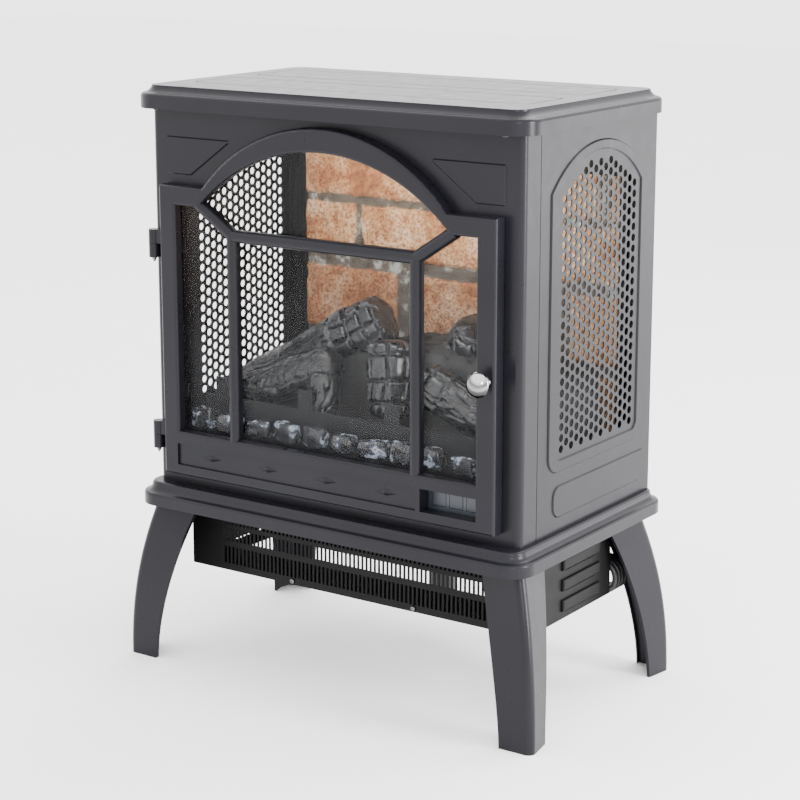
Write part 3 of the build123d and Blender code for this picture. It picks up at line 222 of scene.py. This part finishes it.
class Graph:
    """A material with short calls that add nodes and join them to its shader."""

    def __init__(self, name, base, roughness, metallic=0.0):
        self.material = bpy.data.materials.new(name)
        self.material.use_nodes = True
        self.tree = self.material.node_tree
        self.shader = self.tree.nodes["Principled BSDF"]
        self.set("Base Color", (*base, 1.0))
        self.set("Roughness", roughness)
        self.set("Metallic", metallic)
        self.place = self.add("TexCoord").outputs["Object"]

    def set(self, socket, value):
        """Sets one of the shader's own sockets."""
        self.shader.inputs[socket].default_value = value

    def add(self, kind, **settings):
        """Adds a node of the given kind."""
        node = self.tree.nodes.new("ShaderNode" + kind)
        for key, value in settings.items():
            setattr(node, key, value)
        return node

    def join(self, source, target):
        """Joins two sockets."""
        self.tree.links.new(source, target)

    def stretched(self, scale):
        """The place, scaled by a different amount along each axis."""
        mapping = self.add("Mapping")
        mapping.inputs["Scale"].default_value = scale
        self.join(self.place, mapping.inputs["Vector"])
        return mapping.outputs["Vector"]

    def noise(self, scale, detail=2.0, rough=0.5, place=None):
        """Fractal noise over the surface."""
        node = self.add("TexNoise")
        node.inputs["Scale"].default_value = scale
        node.inputs["Detail"].default_value = detail
        node.inputs["Roughness"].default_value = rough
        self.join(place or self.place, node.inputs["Vector"])
        return node.outputs["Fac"]

    def ramp(self, value, stops):
        """A colour ramp through the given stops."""
        node = self.add("ValToRGB")
        elements = node.color_ramp.elements
        while len(elements) < len(stops):
            elements.new(0.5)
        for element, (position, colour) in zip(elements, stops):
            element.position = position
            element.color = (*colour, 1.0)
        self.join(value, node.inputs["Fac"])
        return node.outputs["Color"]

    def colour(self, value, stops):
        """Base colour from a ramp."""
        self.join(self.ramp(value, stops), self.shader.inputs["Base Color"])

    def mix(self, amount, low, high):
        """A mix of two colours by a value."""
        node = self.add("Mix", data_type="RGBA")
        self.join(amount, node.inputs["Factor"])
        for value, socket in ((low, node.inputs[MIX_LOW]), (high, node.inputs[MIX_HIGH])):
            if isinstance(value, tuple):
                socket.default_value = (*value, 1.0)
            else:
                self.join(value, socket)
        return node.outputs[MIX_RESULT]

    def spread(self, value, low, high, socket="Roughness", start=0.3, end=0.7):
        """A shader value that varies between two limits."""
        node = self.add("MapRange")
        node.inputs["From Min"].default_value = start
        node.inputs["From Max"].default_value = end
        node.inputs["To Min"].default_value = low
        node.inputs["To Max"].default_value = high
        self.join(value, node.inputs["Value"])
        if socket:
            self.join(node.outputs["Result"], self.shader.inputs[socket])
        return node.outputs["Result"]

    def bump(self, height, depth_mm, strength=1.0):
        """Small relief from a height."""
        node = self.add("Bump")
        node.inputs["Strength"].default_value = strength
        node.inputs["Distance"].default_value = depth_mm * MM
        self.join(height, node.inputs["Height"])
        if self.shader.inputs["Normal"].is_linked:
            before = self.shader.inputs["Normal"].links[0].from_socket
            self.join(before, node.inputs["Normal"])
        self.join(node.outputs["Normal"], self.shader.inputs["Normal"])

    def facing(self, direction):
        """How far the surface, in its own axes, is turned towards a direction."""
        product = self.add("VectorMath", operation="DOT_PRODUCT")
        self.join(self.add("TexCoord").outputs["Normal"], product.inputs[0])
        product.inputs[1].default_value = direction
        return product.outputs["Value"]

    def attribute(self, name):
        """A value stored on the mesh."""
        return self.add("Attribute", attribute_name=name).outputs["Fac"]


def powder_coat(name, base, roughness, shaded_direction=None, shine=0.17):
    """Satin powder coat: fine orange peel and faint mottling, with painted shade: faces turned the
    given way, into the shell, are painted unlit black.
    """
    graph = Graph(name, base, roughness)
    cloud = graph.noise(9.0, 3.0)
    low = tuple(channel * 0.92 for channel in base)
    high = tuple(channel * 1.12 for channel in base)
    paint = graph.ramp(cloud, [(0.35, low), (0.65, high)])
    # Painted shade: faces turned towards the given direction are blackened.
    if shaded_direction:
        painted_shade = graph.spread(graph.facing(shaded_direction), 0.0, 1.0, None, 0.3, 0.5)
        paint = graph.mix(painted_shade, paint, UNLIT_BLACK)
    graph.join(paint, graph.shader.inputs["Base Color"])
    peel = graph.noise(700.0, 1.0)
    graph.spread(graph.noise(60.0, 3.0), roughness - 0.02, roughness + 0.04)
    graph.bump(peel, 0.03, 0.3)
    graph.set("Specular IOR Level", shine)
    return graph.material


def bare_metal(name, base, roughness, streak=(1.0, 1.0, 1.0)):
    """Plated or plain metal with fine drawn lines."""
    graph = Graph(name, base, roughness, 1.0)
    lines = graph.noise(250.0, 3.0, place=graph.stretched(streak))
    low = tuple(channel * 0.88 for channel in base)
    graph.colour(lines, [(0.3, low), (0.7, base)])
    graph.spread(lines, roughness * 0.8, roughness * 1.25)
    graph.bump(lines, 0.02, 0.4)
    return graph.material


def chrome():
    """Polished chrome with painted reflections: bands of light and dark grey set by the way it faces,
    with a trace of haze.
    """
    graph = Graph("polished_chrome", (0.5, 0.5, 0.51), 0.06, 1.0)
    # Painted reflection: the base colour steps through grey bands by how far a face turns to one
    # direction.
    lit = graph.facing((0.30, -0.70, 0.64))
    grey = [(0.05, 0.03), (0.45, 0.07), (0.60, 0.26), (0.78, 0.10), (0.92, 0.45)]
    graph.colour(lit, [(stop, (v, v, v * 1.02)) for stop, v in grey])
    haze = graph.noise(40.0, 3.0)
    graph.spread(haze, 0.05, 0.14)
    return graph.material


def plastic(name, base, roughness, grain=700.0, depth_mm=0.04):
    """Moulded plastic with a fine grain."""
    graph = Graph(name, base, roughness)
    texture = graph.noise(grain, 2.0)
    low = tuple(channel * 0.85 for channel in base)
    graph.colour(graph.noise(30.0), [(0.3, low), (0.7, base)])
    graph.spread(texture, roughness * 0.9, roughness * 1.15)
    graph.bump(texture, depth_mm, 0.5)
    return graph.material


def clear_glass():
    """Clear door glass with a faint grey film."""
    graph = Graph("clear_glass", (0.05, 0.052, 0.056), 0.03)
    film = graph.noise(6.0, 3.0)
    graph.colour(film, [(0.3, (0.020, 0.021, 0.024)), (0.7, (0.040, 0.042, 0.047))])
    graph.spread(film, 0.07, 0.10, "Alpha")
    graph.set("Specular IOR Level", 0.6)
    return graph.material


def fired_clay(graph, grains, patches):
    """Colour of the bricks: patches of pale and deep orange with dark specks over them."""
    face = graph.ramp(
        patches,
        [
            (0.32, (0.27, 0.100, 0.032)),
            (0.42, (0.44, 0.205, 0.082)),
            (0.51, (0.57, 0.345, 0.180)),
            (0.62, (0.68, 0.490, 0.325)),
        ],
    )
    deep = graph.mix(graph.attribute("tint"), face, (0.26, 0.10, 0.035))
    speck = graph.ramp(grains, [(0.42, (0.34, 0.15, 0.06)), (0.54, (1.0, 1.0, 1.0))])
    speckled = graph.add("Mix", data_type="RGBA", blend_type="MULTIPLY")
    speckled.inputs["Factor"].default_value = 0.75
    graph.join(deep, speckled.inputs[MIX_LOW])
    graph.join(speck, speckled.inputs[MIX_HIGH])
    return speckled.outputs[MIX_RESULT]


def brickwork():
    """Rough fired brick in pale and deep orange, with grey mortar and pale flecks in it."""
    graph = Graph("brickwork", (0.6, 0.3, 0.18), 0.9)
    grains = graph.noise(330.0, 3.0, 0.75)
    patches = graph.noise(30.0, 6.0, 0.65)
    clay = fired_clay(graph, grains, patches)
    mortar = graph.ramp(
        graph.noise(60.0, 4.0, 0.6),
        [
            (0.35, (0.040, 0.031, 0.023)),
            (0.55, (0.100, 0.084, 0.066)),
            (0.66, (0.34, 0.35, 0.33)),
        ],
    )
    wall = graph.mix(graph.attribute("brick"), mortar, clay)
    graph.join(wall, graph.shader.inputs["Base Color"])
    graph.bump(grains, 0.9, 0.9)
    graph.bump(patches, 2.0, 0.8)
    graph.spread(patches, 0.8, 0.95)
    return graph.material


def charred_log():
    """Dark cast resin: matt char, with a painted highlight of pale bluish grey on its ridges."""
    graph = Graph("charred_log", (0.012, 0.012, 0.013), 0.45)
    painted_highlight = graph.attribute("painted_highlight")
    cloud = graph.noise(70.0, 4.0, 0.6)
    body = graph.ramp(
        cloud,
        [
            (0.30, (0.002, 0.002, 0.0022)),
            (0.55, (0.0045, 0.0046, 0.0052)),
            (0.80, (0.010, 0.0102, 0.0115)),
        ],
    )
    # Painted highlight: near the ridges the base colour turns pale bluish grey.
    edge = graph.ramp(painted_highlight, [(0.62, (0.0, 0.0, 0.0)), (0.9, (1.0, 1.0, 1.0))])
    shine = graph.mix(edge, body, (0.060, 0.064, 0.076))
    graph.join(shine, graph.shader.inputs["Base Color"])
    graph.spread(cloud, 0.20, 0.36)
    graph.set("Specular IOR Level", 0.6)
    graph.bump(graph.noise(150.0, 3.0, 0.55), 0.5, 0.6)
    return graph.material


def coal_glass():
    """Glassy dark coals with painted highlights: thin bluish-white glints in the base colour."""
    graph = Graph("coal_glass", (0.02, 0.021, 0.023), 0.16)
    painted_glints = graph.noise(62.0, 4.0, 0.6)
    # Painted highlight: a narrow band of the noise is painted bluish white as glints.
    body = graph.ramp(
        painted_glints,
        [
            (0.40, (0.012, 0.0125, 0.014)),
            (0.56, (0.030, 0.032, 0.037)),
            (0.60, (0.16, 0.19, 0.25)),
            (0.63, (0.42, 0.47, 0.56)),
            (0.67, (0.040, 0.043, 0.050)),
        ],
    )
    graph.join(body, graph.shader.inputs["Base Color"])
    graph.spread(painted_glints, 0.12, 0.34)
    graph.set("Specular IOR Level", 0.5)
    graph.bump(graph.noise(110.0, 3.0), 1.0, 0.6)
    return graph.material


def ash_bed():
    """Dull charcoal ash."""
    graph = Graph("ash_bed", (0.01, 0.01, 0.01), 0.7)
    grit = graph.noise(240.0, 5.0, 0.7)
    graph.colour(grit, [(0.35, (0.004, 0.004, 0.004)), (0.7, (0.020, 0.019, 0.019))])
    graph.bump(grit, 1.0, 0.8)
    return graph.material


def board_green():
    """Circuit board with faint tracks."""
    graph = Graph("board_green", (0.03, 0.16, 0.07), 0.4)
    tracks = graph.noise(260.0, 1.0, place=graph.stretched((1.0, 1.0, 0.2)))
    graph.colour(tracks, [(0.45, (0.02, 0.12, 0.05)), (0.55, (0.05, 0.24, 0.11))])
    graph.spread(tracks, 0.3, 0.5)
    return graph.material


def cord_rubber():
    """Black flexible sheath with a slight bloom."""
    graph = Graph("cord_rubber", (0.012, 0.012, 0.013), 0.5)
    bloom = graph.noise(90.0, 3.0)
    graph.colour(bloom, [(0.3, (0.005, 0.005, 0.0055)), (0.7, (0.012, 0.012, 0.013))])
    graph.spread(bloom, 0.42, 0.6)
    graph.bump(graph.noise(600.0), 0.05, 0.5)
    return graph.material


def dress_nodes(material, *names):
    """Gives CAD nodes a material."""
    for name in names:
        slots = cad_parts[name].data.materials
        slots.clear()
        slots.append(material)


def dress_painted():
    """The painted sheet: charcoal outside, painted shade in unlit black on the shell's faces turned
    inward, black on the parts inside, a paler black on the fender.
    """
    coat = powder_coat("charcoal_coat", COAT_COLOUR, COAT_ROUGHNESS)
    dress_nodes(
        coat, "top_lid", "base_tray", "leg_front_left", "leg_front_right", "leg_rear_left",
        "leg_rear_right", "back_panel", "door_frame", "hinge_body_leaves", "hinge_door_leaves",
    )
    # Directions into the shell; faces turned that way get painted shade.
    shaded_direction = {
        "front_panel": (0, 1, 0),
        "side_panel_left": (1, 0, 0),
        "side_panel_right": (-1, 0, 0),
    }
    for name, direction in shaded_direction.items():
        dress_nodes(powder_coat(name + "_coat", COAT_COLOUR, COAT_ROUGHNESS, direction), name)
    inner = powder_coat("black_coat", INNER_BLACK, 0.5, shine=0.12)
    dress_nodes(
        inner, "screw_strips", "firebox_floor", "firebox_ceiling", "backdrop_frame", "light_box",
        "heater_box", "heater_grille", "element_frame", "blower_scroll",
    )
    dress_nodes(powder_coat("fender_coat", (0.011, 0.011, 0.012), 0.5), "fire_grate")


def dress_metal():
    """Screws, plated fittings, the chrome knob and the aluminium parts."""
    dress_nodes(bare_metal("black_screws", (0.05, 0.05, 0.052), 0.35), "lid_screws", "back_screws")
    dress_nodes(
        bare_metal("plated_steel", (0.16, 0.16, 0.165), 0.35),
        "leg_screws", "grille_screws", "knob_screw", "hinge_pins", "catch_striker", "glass_clips",
    )
    dress_nodes(chrome(), "door_knob")
    dress_nodes(
        bare_metal("fin_aluminium", (0.80, 0.80, 0.81), 0.30, (0.1, 1.0, 1.0)),
        "flame_spindle", "blower_wheel", "heating_element",
    )


def dress_glass_and_plastic():
    """The door glass, the control panel and its keys, plastic parts and circuit boards."""
    dress_nodes(clear_glass(), "door_glass")
    dress_nodes(plastic("panel_gloss", (0.016, 0.020, 0.028), 0.3, 500.0, 0.01), "control_panel")
    keys = plastic("key_plastic", (0.015, 0.019, 0.026), 0.35)
    dress_nodes(keys, "key_power", "key_flame", "key_heat")
    dress_nodes(
        plastic("black_plastic", (0.007, 0.007, 0.0075), 0.45),
        "spindle_motor", "blower_motor", "door_catch", "strain_relief", "plug", "cord_tie",
    )
    dress_nodes(board_green(), "circuit_board", "led_strip")


# ---------------------------------------------------------------- pieces


def new_piece(name, vertices, faces, material, values=None, body="stove"):
    """A smooth-shaded mesh that rides on a body, with optional values on its points."""
    mesh = bpy.data.meshes.new(name)
    mesh.from_pydata(vertices, [], faces)
    mesh.materials.append(material)
    mesh.polygons.foreach_set("use_smooth", [True] * len(mesh.polygons))
    for key, numbers in (values or {}).items():
        layer = mesh.attributes.new(key, "FLOAT", "POINT")
        layer.data.foreach_set("value", numbers)
    mesh.update()
    piece = bpy.data.objects.new(name, mesh)
    bpy.context.scene.collection.objects.link(piece)
    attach(piece, body)
    return piece


def grid_faces(columns, rows, start=0, wrap=False):
    """Quads over a grid of points stored row by row."""
    faces = []
    last = columns if wrap else columns - 1
    for row in range(rows - 1):
        for column in range(last):
            beside = (column + 1) % columns
            a = start + row * columns + column
            b = start + row * columns + beside
            faces.append((a, b, b + columns, a + columns))
    return faces


def smooth_step(low, high, value):
    """Eases from 0 to 1 between two limits."""
    t = min(max((value - low) / (high - low), 0.0), 1.0)
    return t * t * (3 - 2 * t)


# ---- brick backdrop


def brick_depth(x, z):
    """How far inside a brick a point is (0 at its edge, less in the mortar), and which brick."""
    wobble = 2.6 * noise.noise(Vector((x * 0.035, z * 0.035, 3.0)))
    wobble += 1.2 * noise.noise(Vector((x * 0.13, z * 0.13, 8.0)))
    best = (-9.0, 0)
    for index, (low, high) in enumerate(COURSES):
        upright = min(z - low, high - z)
        along = (x - COURSE_JOINTS[index]) % BRICK_LENGTH
        half_joint = JOINT_WIDTHS[index] / 2
        across = min(along, BRICK_LENGTH - along) - half_joint
        inside = min(upright, across) + wobble
        number = index * 7 + math.floor((x - COURSE_JOINTS[index]) / BRICK_LENGTH)
        if inside > best[0]:
            best = (inside, number)
    return best


def board_back(columns, rows, corner):
    """The board's flat back and four edges, from a grid's rim to four corners behind it."""
    bottom = list(range(columns))
    top = [(rows - 1) * columns + column for column in range(columns)]
    left = [row * columns for row in range(rows)]
    right = [row * columns + columns - 1 for row in range(rows)]
    return [
        (corner, corner + 3, corner + 2, corner + 1),
        (corner, corner + 1, *reversed(bottom)),
        (corner + 2, corner + 3, *top),
        (corner + 3, corner, *left),
        (corner + 1, corner + 2, *reversed(right)),
    ]


def make_brick_backdrop():
    """The backdrop's brick relief, one fine sheet with a flat back."""
    low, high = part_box("brick_backdrop")
    step = BRICK_STEP * MM
    columns = int((high[0] - low[0]) / step) + 1
    rows = int((high[2] - low[2]) / step) + 1
    vertices, brick, tint = [], [], []
    for row in range(rows):
        for column in range(columns):
            x = low[0] + (high[0] - low[0]) * column / (columns - 1)
            z = low[2] + (high[2] - low[2]) * row / (rows - 1)
            inside, number = brick_depth(x / MM, z / MM)
            raised = smooth_step(-1.0, 4.0, inside)
            place = Vector((x, 0.0, z)) / MM
            rough = noise.fractal(place * 0.05, 0.8, 2.1, 5)
            pits = max(noise.noise(place * 0.06 + Vector((9, 0, 0))) - 0.25, 0.0)
            relief = raised * (BRICK_RAISE + 0.9 * rough - 6.0 * pits) + 0.35 * rough
            vertices.append((x, low[1] + (MORTAR_INSET - max(relief, 0.0)) * MM, z))
            brick.append(smooth_step(-0.6, 1.2, inside + 1.4 * rough))
            tint.append(0.5 * (0.5 + 0.5 * math.sin(number * 12.9)) ** 2)
    corner = len(vertices)
    for x, z in ((low[0], low[2]), (high[0], low[2]), (high[0], high[2]), (low[0], high[2])):
        vertices.append((x, high[1], z))
        brick.append(0.0)
        tint.append(0.0)
    faces = grid_faces(columns, rows) + board_back(columns, rows, corner)
    values = {"brick": brick, "tint": tint}
    piece = new_piece("brick_relief", vertices, faces, brickwork(), values)
    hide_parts("brick_backdrop")


# ---- logs


def curve_through(points, radii, count):
    """Places and radii at even steps along a smooth line through points."""
    places = []
    spans = len(points) - 1
    for index in range(count):
        t = index / (count - 1) * spans
        span = min(int(t), spans - 1)
        u = t - span
        p = [points[min(max(span + k, 0), spans)] for k in (-1, 0, 1, 2)]
        place = 0.5 * (
            2 * p[1] + (p[2] - p[0]) * u + (2 * p[0] - 5 * p[1] + 4 * p[2] - p[3]) * u * u
            + (3 * p[1] - p[0] - 3 * p[2] + p[3]) * u * u * u
        )
        radius = radii[span] * (1 - u) + radii[span + 1] * u
        places.append((place, radius))
    return places


def char_blocks(around, along, seed):
    """Alligator char: cracked blocks. Returns height in mm and a painted-highlight mask along the
    crests beside the cracks.
    """
    row = math.floor(along / CHAR_ROW)
    shift = 11.0 * noise.noise(Vector((row * 3.1, seed, 0.0)))
    column = math.floor((around + shift) / CHAR_COLUMN)
    width = 3.0 * noise.noise(Vector((column * 1.7, row * 2.3, seed)))
    cell_u = (around + shift) / CHAR_COLUMN - column - 0.5
    cell_v = along / CHAR_ROW - row - 0.5
    edge = max(abs(cell_u) * (1 + 0.05 * width), abs(cell_v)) * 2
    crack = smooth_step(0.74, 1.0, edge)
    lift = 2.2 * noise.noise(Vector((column * 5.3, row * 4.1, seed + 4)))
    painted_highlight = math.exp(-(((edge - 0.72) / 0.09) ** 2))
    return 2.6 - 7.0 * crack + lift, 0.9 * painted_highlight


def scales(around, along, seed):
    """Overlapping bark scales: height in mm and a painted-highlight mask away from their seams."""
    cell = Vector((around / 6.2, along / 8.4, seed))
    near, _ = noise.voronoi(cell)
    seam = smooth_step(0.0, 0.28, near[1] - near[0])
    return 1.7 * seam - 0.9, 0.75 * seam * smooth_step(0.25, 0.55, near[1] - near[0])


def bark(around, along, seed):
    """Long ridges of bark: height in mm and a painted-highlight mask on the ridges."""
    twist = 3.0 * noise.noise(Vector((around * 0.05, along * 0.02, seed)))
    ridge = noise.noise(Vector((around * 0.32 + twist, along * 0.035, seed + 2)))
    sharp = 1 - abs(ridge) * 2.2
    return 2.4 * sharp - 1.4, 0.9 * max(sharp, 0.0) ** 4


TEXTURES = {"char": char_blocks, "scale": scales, "bark": bark}


def ring_axes(line, index):
    """The two directions across a log at one of its rings."""
    ahead = line[min(index + 1, len(line) - 1)][0] - line[max(index - 1, 0)][0]
    ahead.normalize()
    sideways = ahead.cross(UP).normalized()
    return sideways, sideways.cross(ahead)


def end_rounding(t, radius, length):
    """The share of its radius that a log has at a place along it, less near its ends."""
    cap = 0.7 * radius / MM / length
    from_end = max(1 - min(t, 1 - t) / cap, 0.0)
    return math.sqrt(max(1 - from_end**2.6, 0.004))


def mixed_skin(skins, blend, around, along, seed):
    """Height in mm and painted-highlight mask at a place on a log, mixed from its two textures."""
    low_lift, low_highlight = TEXTURES[skins[0]](around, along, seed)
    high_lift, high_highlight = TEXTURES[skins[1]](around, along, seed)
    lift = low_lift * (1 - blend) + high_lift * blend
    painted_highlight = low_highlight * (1 - blend) + high_highlight * blend
    return lift, painted_highlight


def log_lump(angle, along, seed):
    """The slow swell of a log in mm, with smaller lumps on it."""
    spot = Vector((math.cos(angle), math.sin(angle), 0)) * 1.3
    lump = 2.6 * noise.noise(spot + Vector((0, 0, along * 0.03 + seed)))
    lump += 0.9 * noise.noise(spot * 4 + Vector((0, 0, along * 0.11 + seed)))
    return lump


def end_faces(first, centre, reverse):
    """A fan of triangles from a log's end ring to the point in its middle."""
    faces = []
    for side in range(LOG_SIDES):
        a, b = first + side, first + (side + 1) % LOG_SIDES
        faces.append((centre, b, a) if reverse else (centre, a, b))
    return faces


def make_log(resin, node, points, radii, skins, change, seed):
    """A cast log, in millimetres, whose skin changes from one to another at a share of its length."""
    route = [at(*point) for point in points]
    length = sum((b - a).length for a, b in zip(route, route[1:])) / MM
    count = int(length / LOG_STEP)
    line = curve_through(route, [radius * MM for radius in radii], count)
    vertices, painted_highlights = [], []
    for index, (place, radius) in enumerate(line):
        sideways, over = ring_axes(line, index)
        t = index / (count - 1)
        along = t * length
        rounded = end_rounding(t, radius, length)
        blend = smooth_step(change - SKIN_BLEND, change + SKIN_BLEND, t)
        for side in range(LOG_SIDES):
            angle = 2 * math.pi * side / LOG_SIDES
            lift, painted_highlight = mixed_skin(skins, blend, angle * radius / MM, along, seed)
            lump = log_lump(angle, along, seed)
            reach = (radius * SKIN_REACH + (lift + lump) * MM) * rounded
            offset = sideways * math.cos(angle) + over * math.sin(angle)
            vertices.append(tuple(place + offset * reach))
            painted_highlights.append(painted_highlight)
    faces = [(a, d, c, b) for a, b, c, d in grid_faces(LOG_SIDES, count, wrap=True)]
    for ring, reverse in ((0, False), (count - 1, True)):
        faces += end_faces(ring * LOG_SIDES, len(vertices), reverse)
        vertices.append(tuple(line[ring][0]))
        painted_highlights.append(0.0)
    name = node.replace("log_", "firelog_")
    piece = new_piece(name, vertices, faces, resin, {"painted_highlight": painted_highlights})
    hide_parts(node)


def make_logs():
    """All six logs of the fire."""
    resin = charred_log()
    make_log(
        resin, "log_long", [(-196, -14, 274), (-130, -10, 303), (-64, -4, 339), (-18, 2, 364)],
        [18, 26, 29, 28], ("bark", "char"), 0.60, 1.0,
    )
    make_log(
        resin, "log_front_right", [(16, -44, 270), (12, -38, 306), (4, -30, 348)],
        [22, 25, 22], ("char", "char"), 0.5, 17.0,
    )
    make_log(
        resin, "log_right", [(26, 48, 284), (50, 42, 312), (68, 34, 338), (80, 28, 362)],
        [30, 34, 34, 30], ("bark", "char"), 0.55, 5.0,
    )
    make_log(
        resin, "log_left_low", [(-190, -53, 268), (-148, -52, 281), (-100, -50, 300), (-46, -47, 322)],
        [16, 21, 23, 21], ("scale", "scale"), 0.5, 9.0,
    )
    make_log(
        resin, "log_right_low", [(48, -28, 312), (86, -34, 297), (132, -40, 280), (182, -44, 266)],
        [22, 24, 22, 17], ("char", "bark"), 0.3, 21.0,
    )
    make_log(
        resin, "log_centre", [(-58, -62, 264), (-56, -60, 284), (-55, -57, 314)],
        [18, 19, 18], ("scale", "scale"), 0.5, 13.0,
    )


# ---- ember bed and coals


def bank_height(x, y):
    """Height in mm of the ash bank above its foot at a place in millimetres."""
    top = BANK_FOOT
    for (x0, z0), (x1, z1) in zip(BANK_TOP, BANK_TOP[1:]):
        if x0 <= x < x1:
            top = z0 + (z1 - z0) * (x - x0) / (x1 - x0)
    across = smooth_step(BANK_FRONT - 4, BANK_FRONT + 8, y)
    across *= 1 - smooth_step(BANK_BACK - 8, BANK_BACK + 4, y)
    return max(top - BANK_FOOT, 0.0) * across


def make_ember_bed():
    """Lumpy ash, banked up behind the logs."""
    low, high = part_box("ember_bed")
    step = ASH_STEP * MM
    columns = int((high[0] - low[0]) / step) + 1
    rows = int((high[1] - low[1]) / step) + 1
    vertices = []
    for row in range(rows):
        for column in range(columns):
            x = low[0] + (high[0] - low[0]) * column / (columns - 1)
            y = low[1] + (high[1] - low[1]) * row / (rows - 1)
            near, _ = noise.voronoi(Vector((x / MM / 24.0, y / MM / 20.0, 2.0)))
            lump = smooth_step(0.0, 0.35, near[1] - near[0])
            rough = noise.fractal(Vector((x, y, 0)) / MM * 0.12, 0.8, 2.0, 3)
            edge = min(x - low[0], high[0] - x, y - low[1], high[1] - y) / MM
            bank = bank_height(x / MM, (y - MIDDLE_Y) / MM)
            height = smooth_step(0, 9, edge) * (5.0 + 5.4 * lump + 1.2 * rough + 0.96 * bank)
            top = min(low[2] + max(height, 0.0) * MM, high[2])
            vertices.append((x, y, top))
    faces = grid_faces(columns, rows)
    rim = list(range(columns))
    rim += [row * columns + columns - 1 for row in range(1, rows)]
    rim += [(rows - 1) * columns + column for column in range(columns - 2, -1, -1)]
    rim += [row * columns for row in range(rows - 2, 0, -1)]
    faces.append(tuple(reversed(rim)))
    piece = new_piece("ash_and_coals", vertices, faces, ash_bed())
    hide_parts("ember_bed")


def coal_point(index, spot, half_sizes):
    """One point of a coal: a block with blunt corners and broken faces."""
    square = max(abs(spot.x), abs(spot.y), abs(spot.z)) ** 0.8
    broken = noise.noise(spot * 1.6 + Vector((index * 3.7, 0, 0)))
    fine = noise.noise(spot * 5.0 + Vector((index * 9.1, 0, 0)))
    reach = (0.93 + 0.13 * broken + 0.035 * fine) / square
    return Vector([a * b for a, b in zip(spot, half_sizes)]) * reach


def sphere_spot(ring, side):
    """A point of a round coal before it is shaped."""
    polar = math.pi * ring / (COAL_RINGS - 1)
    angle = 2 * math.pi * side / COAL_SIDES
    reach = math.sin(polar)
    return Vector((reach * math.cos(angle), reach * math.sin(angle), math.cos(polar)))


def make_coals():
    """The row of glassy coals in front of the fender."""
    vertices, faces = [], []
    low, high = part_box("ember_chunks")
    middle_y = (low[1] + high[1]) / 2
    half_x, half_y, half_z = COAL_HALF_SIZES
    for index in range(COAL_COUNT):
        wide = half_x + 1.8 * math.sin(index * 2.3)
        tall = half_z + 1.2 * math.cos(index * 1.7)
        x = (COAL_FIRST_X + index * COAL_PITCH) * MM
        centre = Vector((x, middle_y, low[2] + 0.92 * tall * MM))
        turn = Matrix.Rotation(0.35 * math.sin(index * 1.3), 3, "Z")
        start = len(vertices)
        for ring in range(COAL_RINGS):
            for side in range(COAL_SIDES):
                shaped = coal_point(index, sphere_spot(ring, side), (wide, half_y, tall))
                place = centre + turn @ shaped * MM
                place.z = max(place.z, low[2])
                vertices.append(tuple(place))
        grid = grid_faces(COAL_SIDES, COAL_RINGS, start, wrap=True)
        faces += [(a, d, c, b) for a, b, c, d in grid]
    piece = new_piece("glass_coals", vertices, faces, coal_glass())
    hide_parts("ember_chunks")


# ---- power cord


def hank_turn(left, right, bottom, top):
    """One long turn of the hank, as x and z: right along the bottom, and back along the top."""
    radius = (top - bottom) / 2
    middle = (top + bottom) / 2
    reach = radius * HANK_BULGE
    straight = right - left - 2 * radius
    turn = []
    for shares, z, centre, angles in (
        ((0.12, 0.5, 0.88), bottom, right - radius, (-45, 0, 45)),
        ((0.88, 0.5, 0.12), top, left + radius, (135, 180, 225)),
    ):
        for share in shares:
            turn.append((left + radius + straight * share, z))
        for degrees in angles:
            angle = math.radians(degrees)
            turn.append((centre + reach * math.cos(angle), middle + reach * math.sin(angle)))
    return turn


def hank_points():
    """The hank's long turns, side by side from the back to the front."""
    low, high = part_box("cord_hank")
    inset = CORD_WIDTH / 2 * MM
    turn = hank_turn(low[0] + inset, high[0] - inset, low[2] + inset, high[2] - inset)
    points = []
    total = HANK_TURNS * len(turn) + HANK_EXTRA
    for index in range(total):
        x, z = turn[index % len(turn)]
        y = high[1] - inset - (high[1] - low[1] - 2 * inset) * index / (total - 1)
        points.append(Vector((x, y, z)))
    return points


def make_cord():
    """The whole flex: relief to hank, the tied hank and the short tail to the plug."""
    points = [at(*point) for point in CORD_ROUTE]
    points += hank_points()
    points += [at(*point) for point in PLUG_ROUTE]
    curve = bpy.data.curves.new("flex", "CURVE")
    curve.dimensions = "3D"
    curve.bevel_depth = CORD_WIDTH / 2 * MM
    curve.bevel_resolution = 5
    curve.use_fill_caps = True
    spline = curve.splines.new("NURBS")
    spline.points.add(len(points) - 1)
    for control, point in zip(spline.points, points):
        control.co = (*point, 1.0)
    spline.order_u = 3
    spline.use_endpoint_u = True
    spline.resolution_u = 6
    curve.materials.append(cord_rubber())
    flex = bpy.data.objects.new("flex", curve)
    bpy.context.scene.collection.objects.link(flex)
    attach(flex, "stove")
    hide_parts("power_cord", "cord_hank", "plug_cord")


def build():
    """Makes the camera, the cord, the lights, the floor, the looks and the new pieces."""
    make_camera()
    make_cord()
    make_lights()
    make_floor()
    dress_painted()
    dress_metal()
    dress_glass_and_plastic()
    make_brick_backdrop()
    make_logs()
    make_ember_bed()
    make_coals()


build()
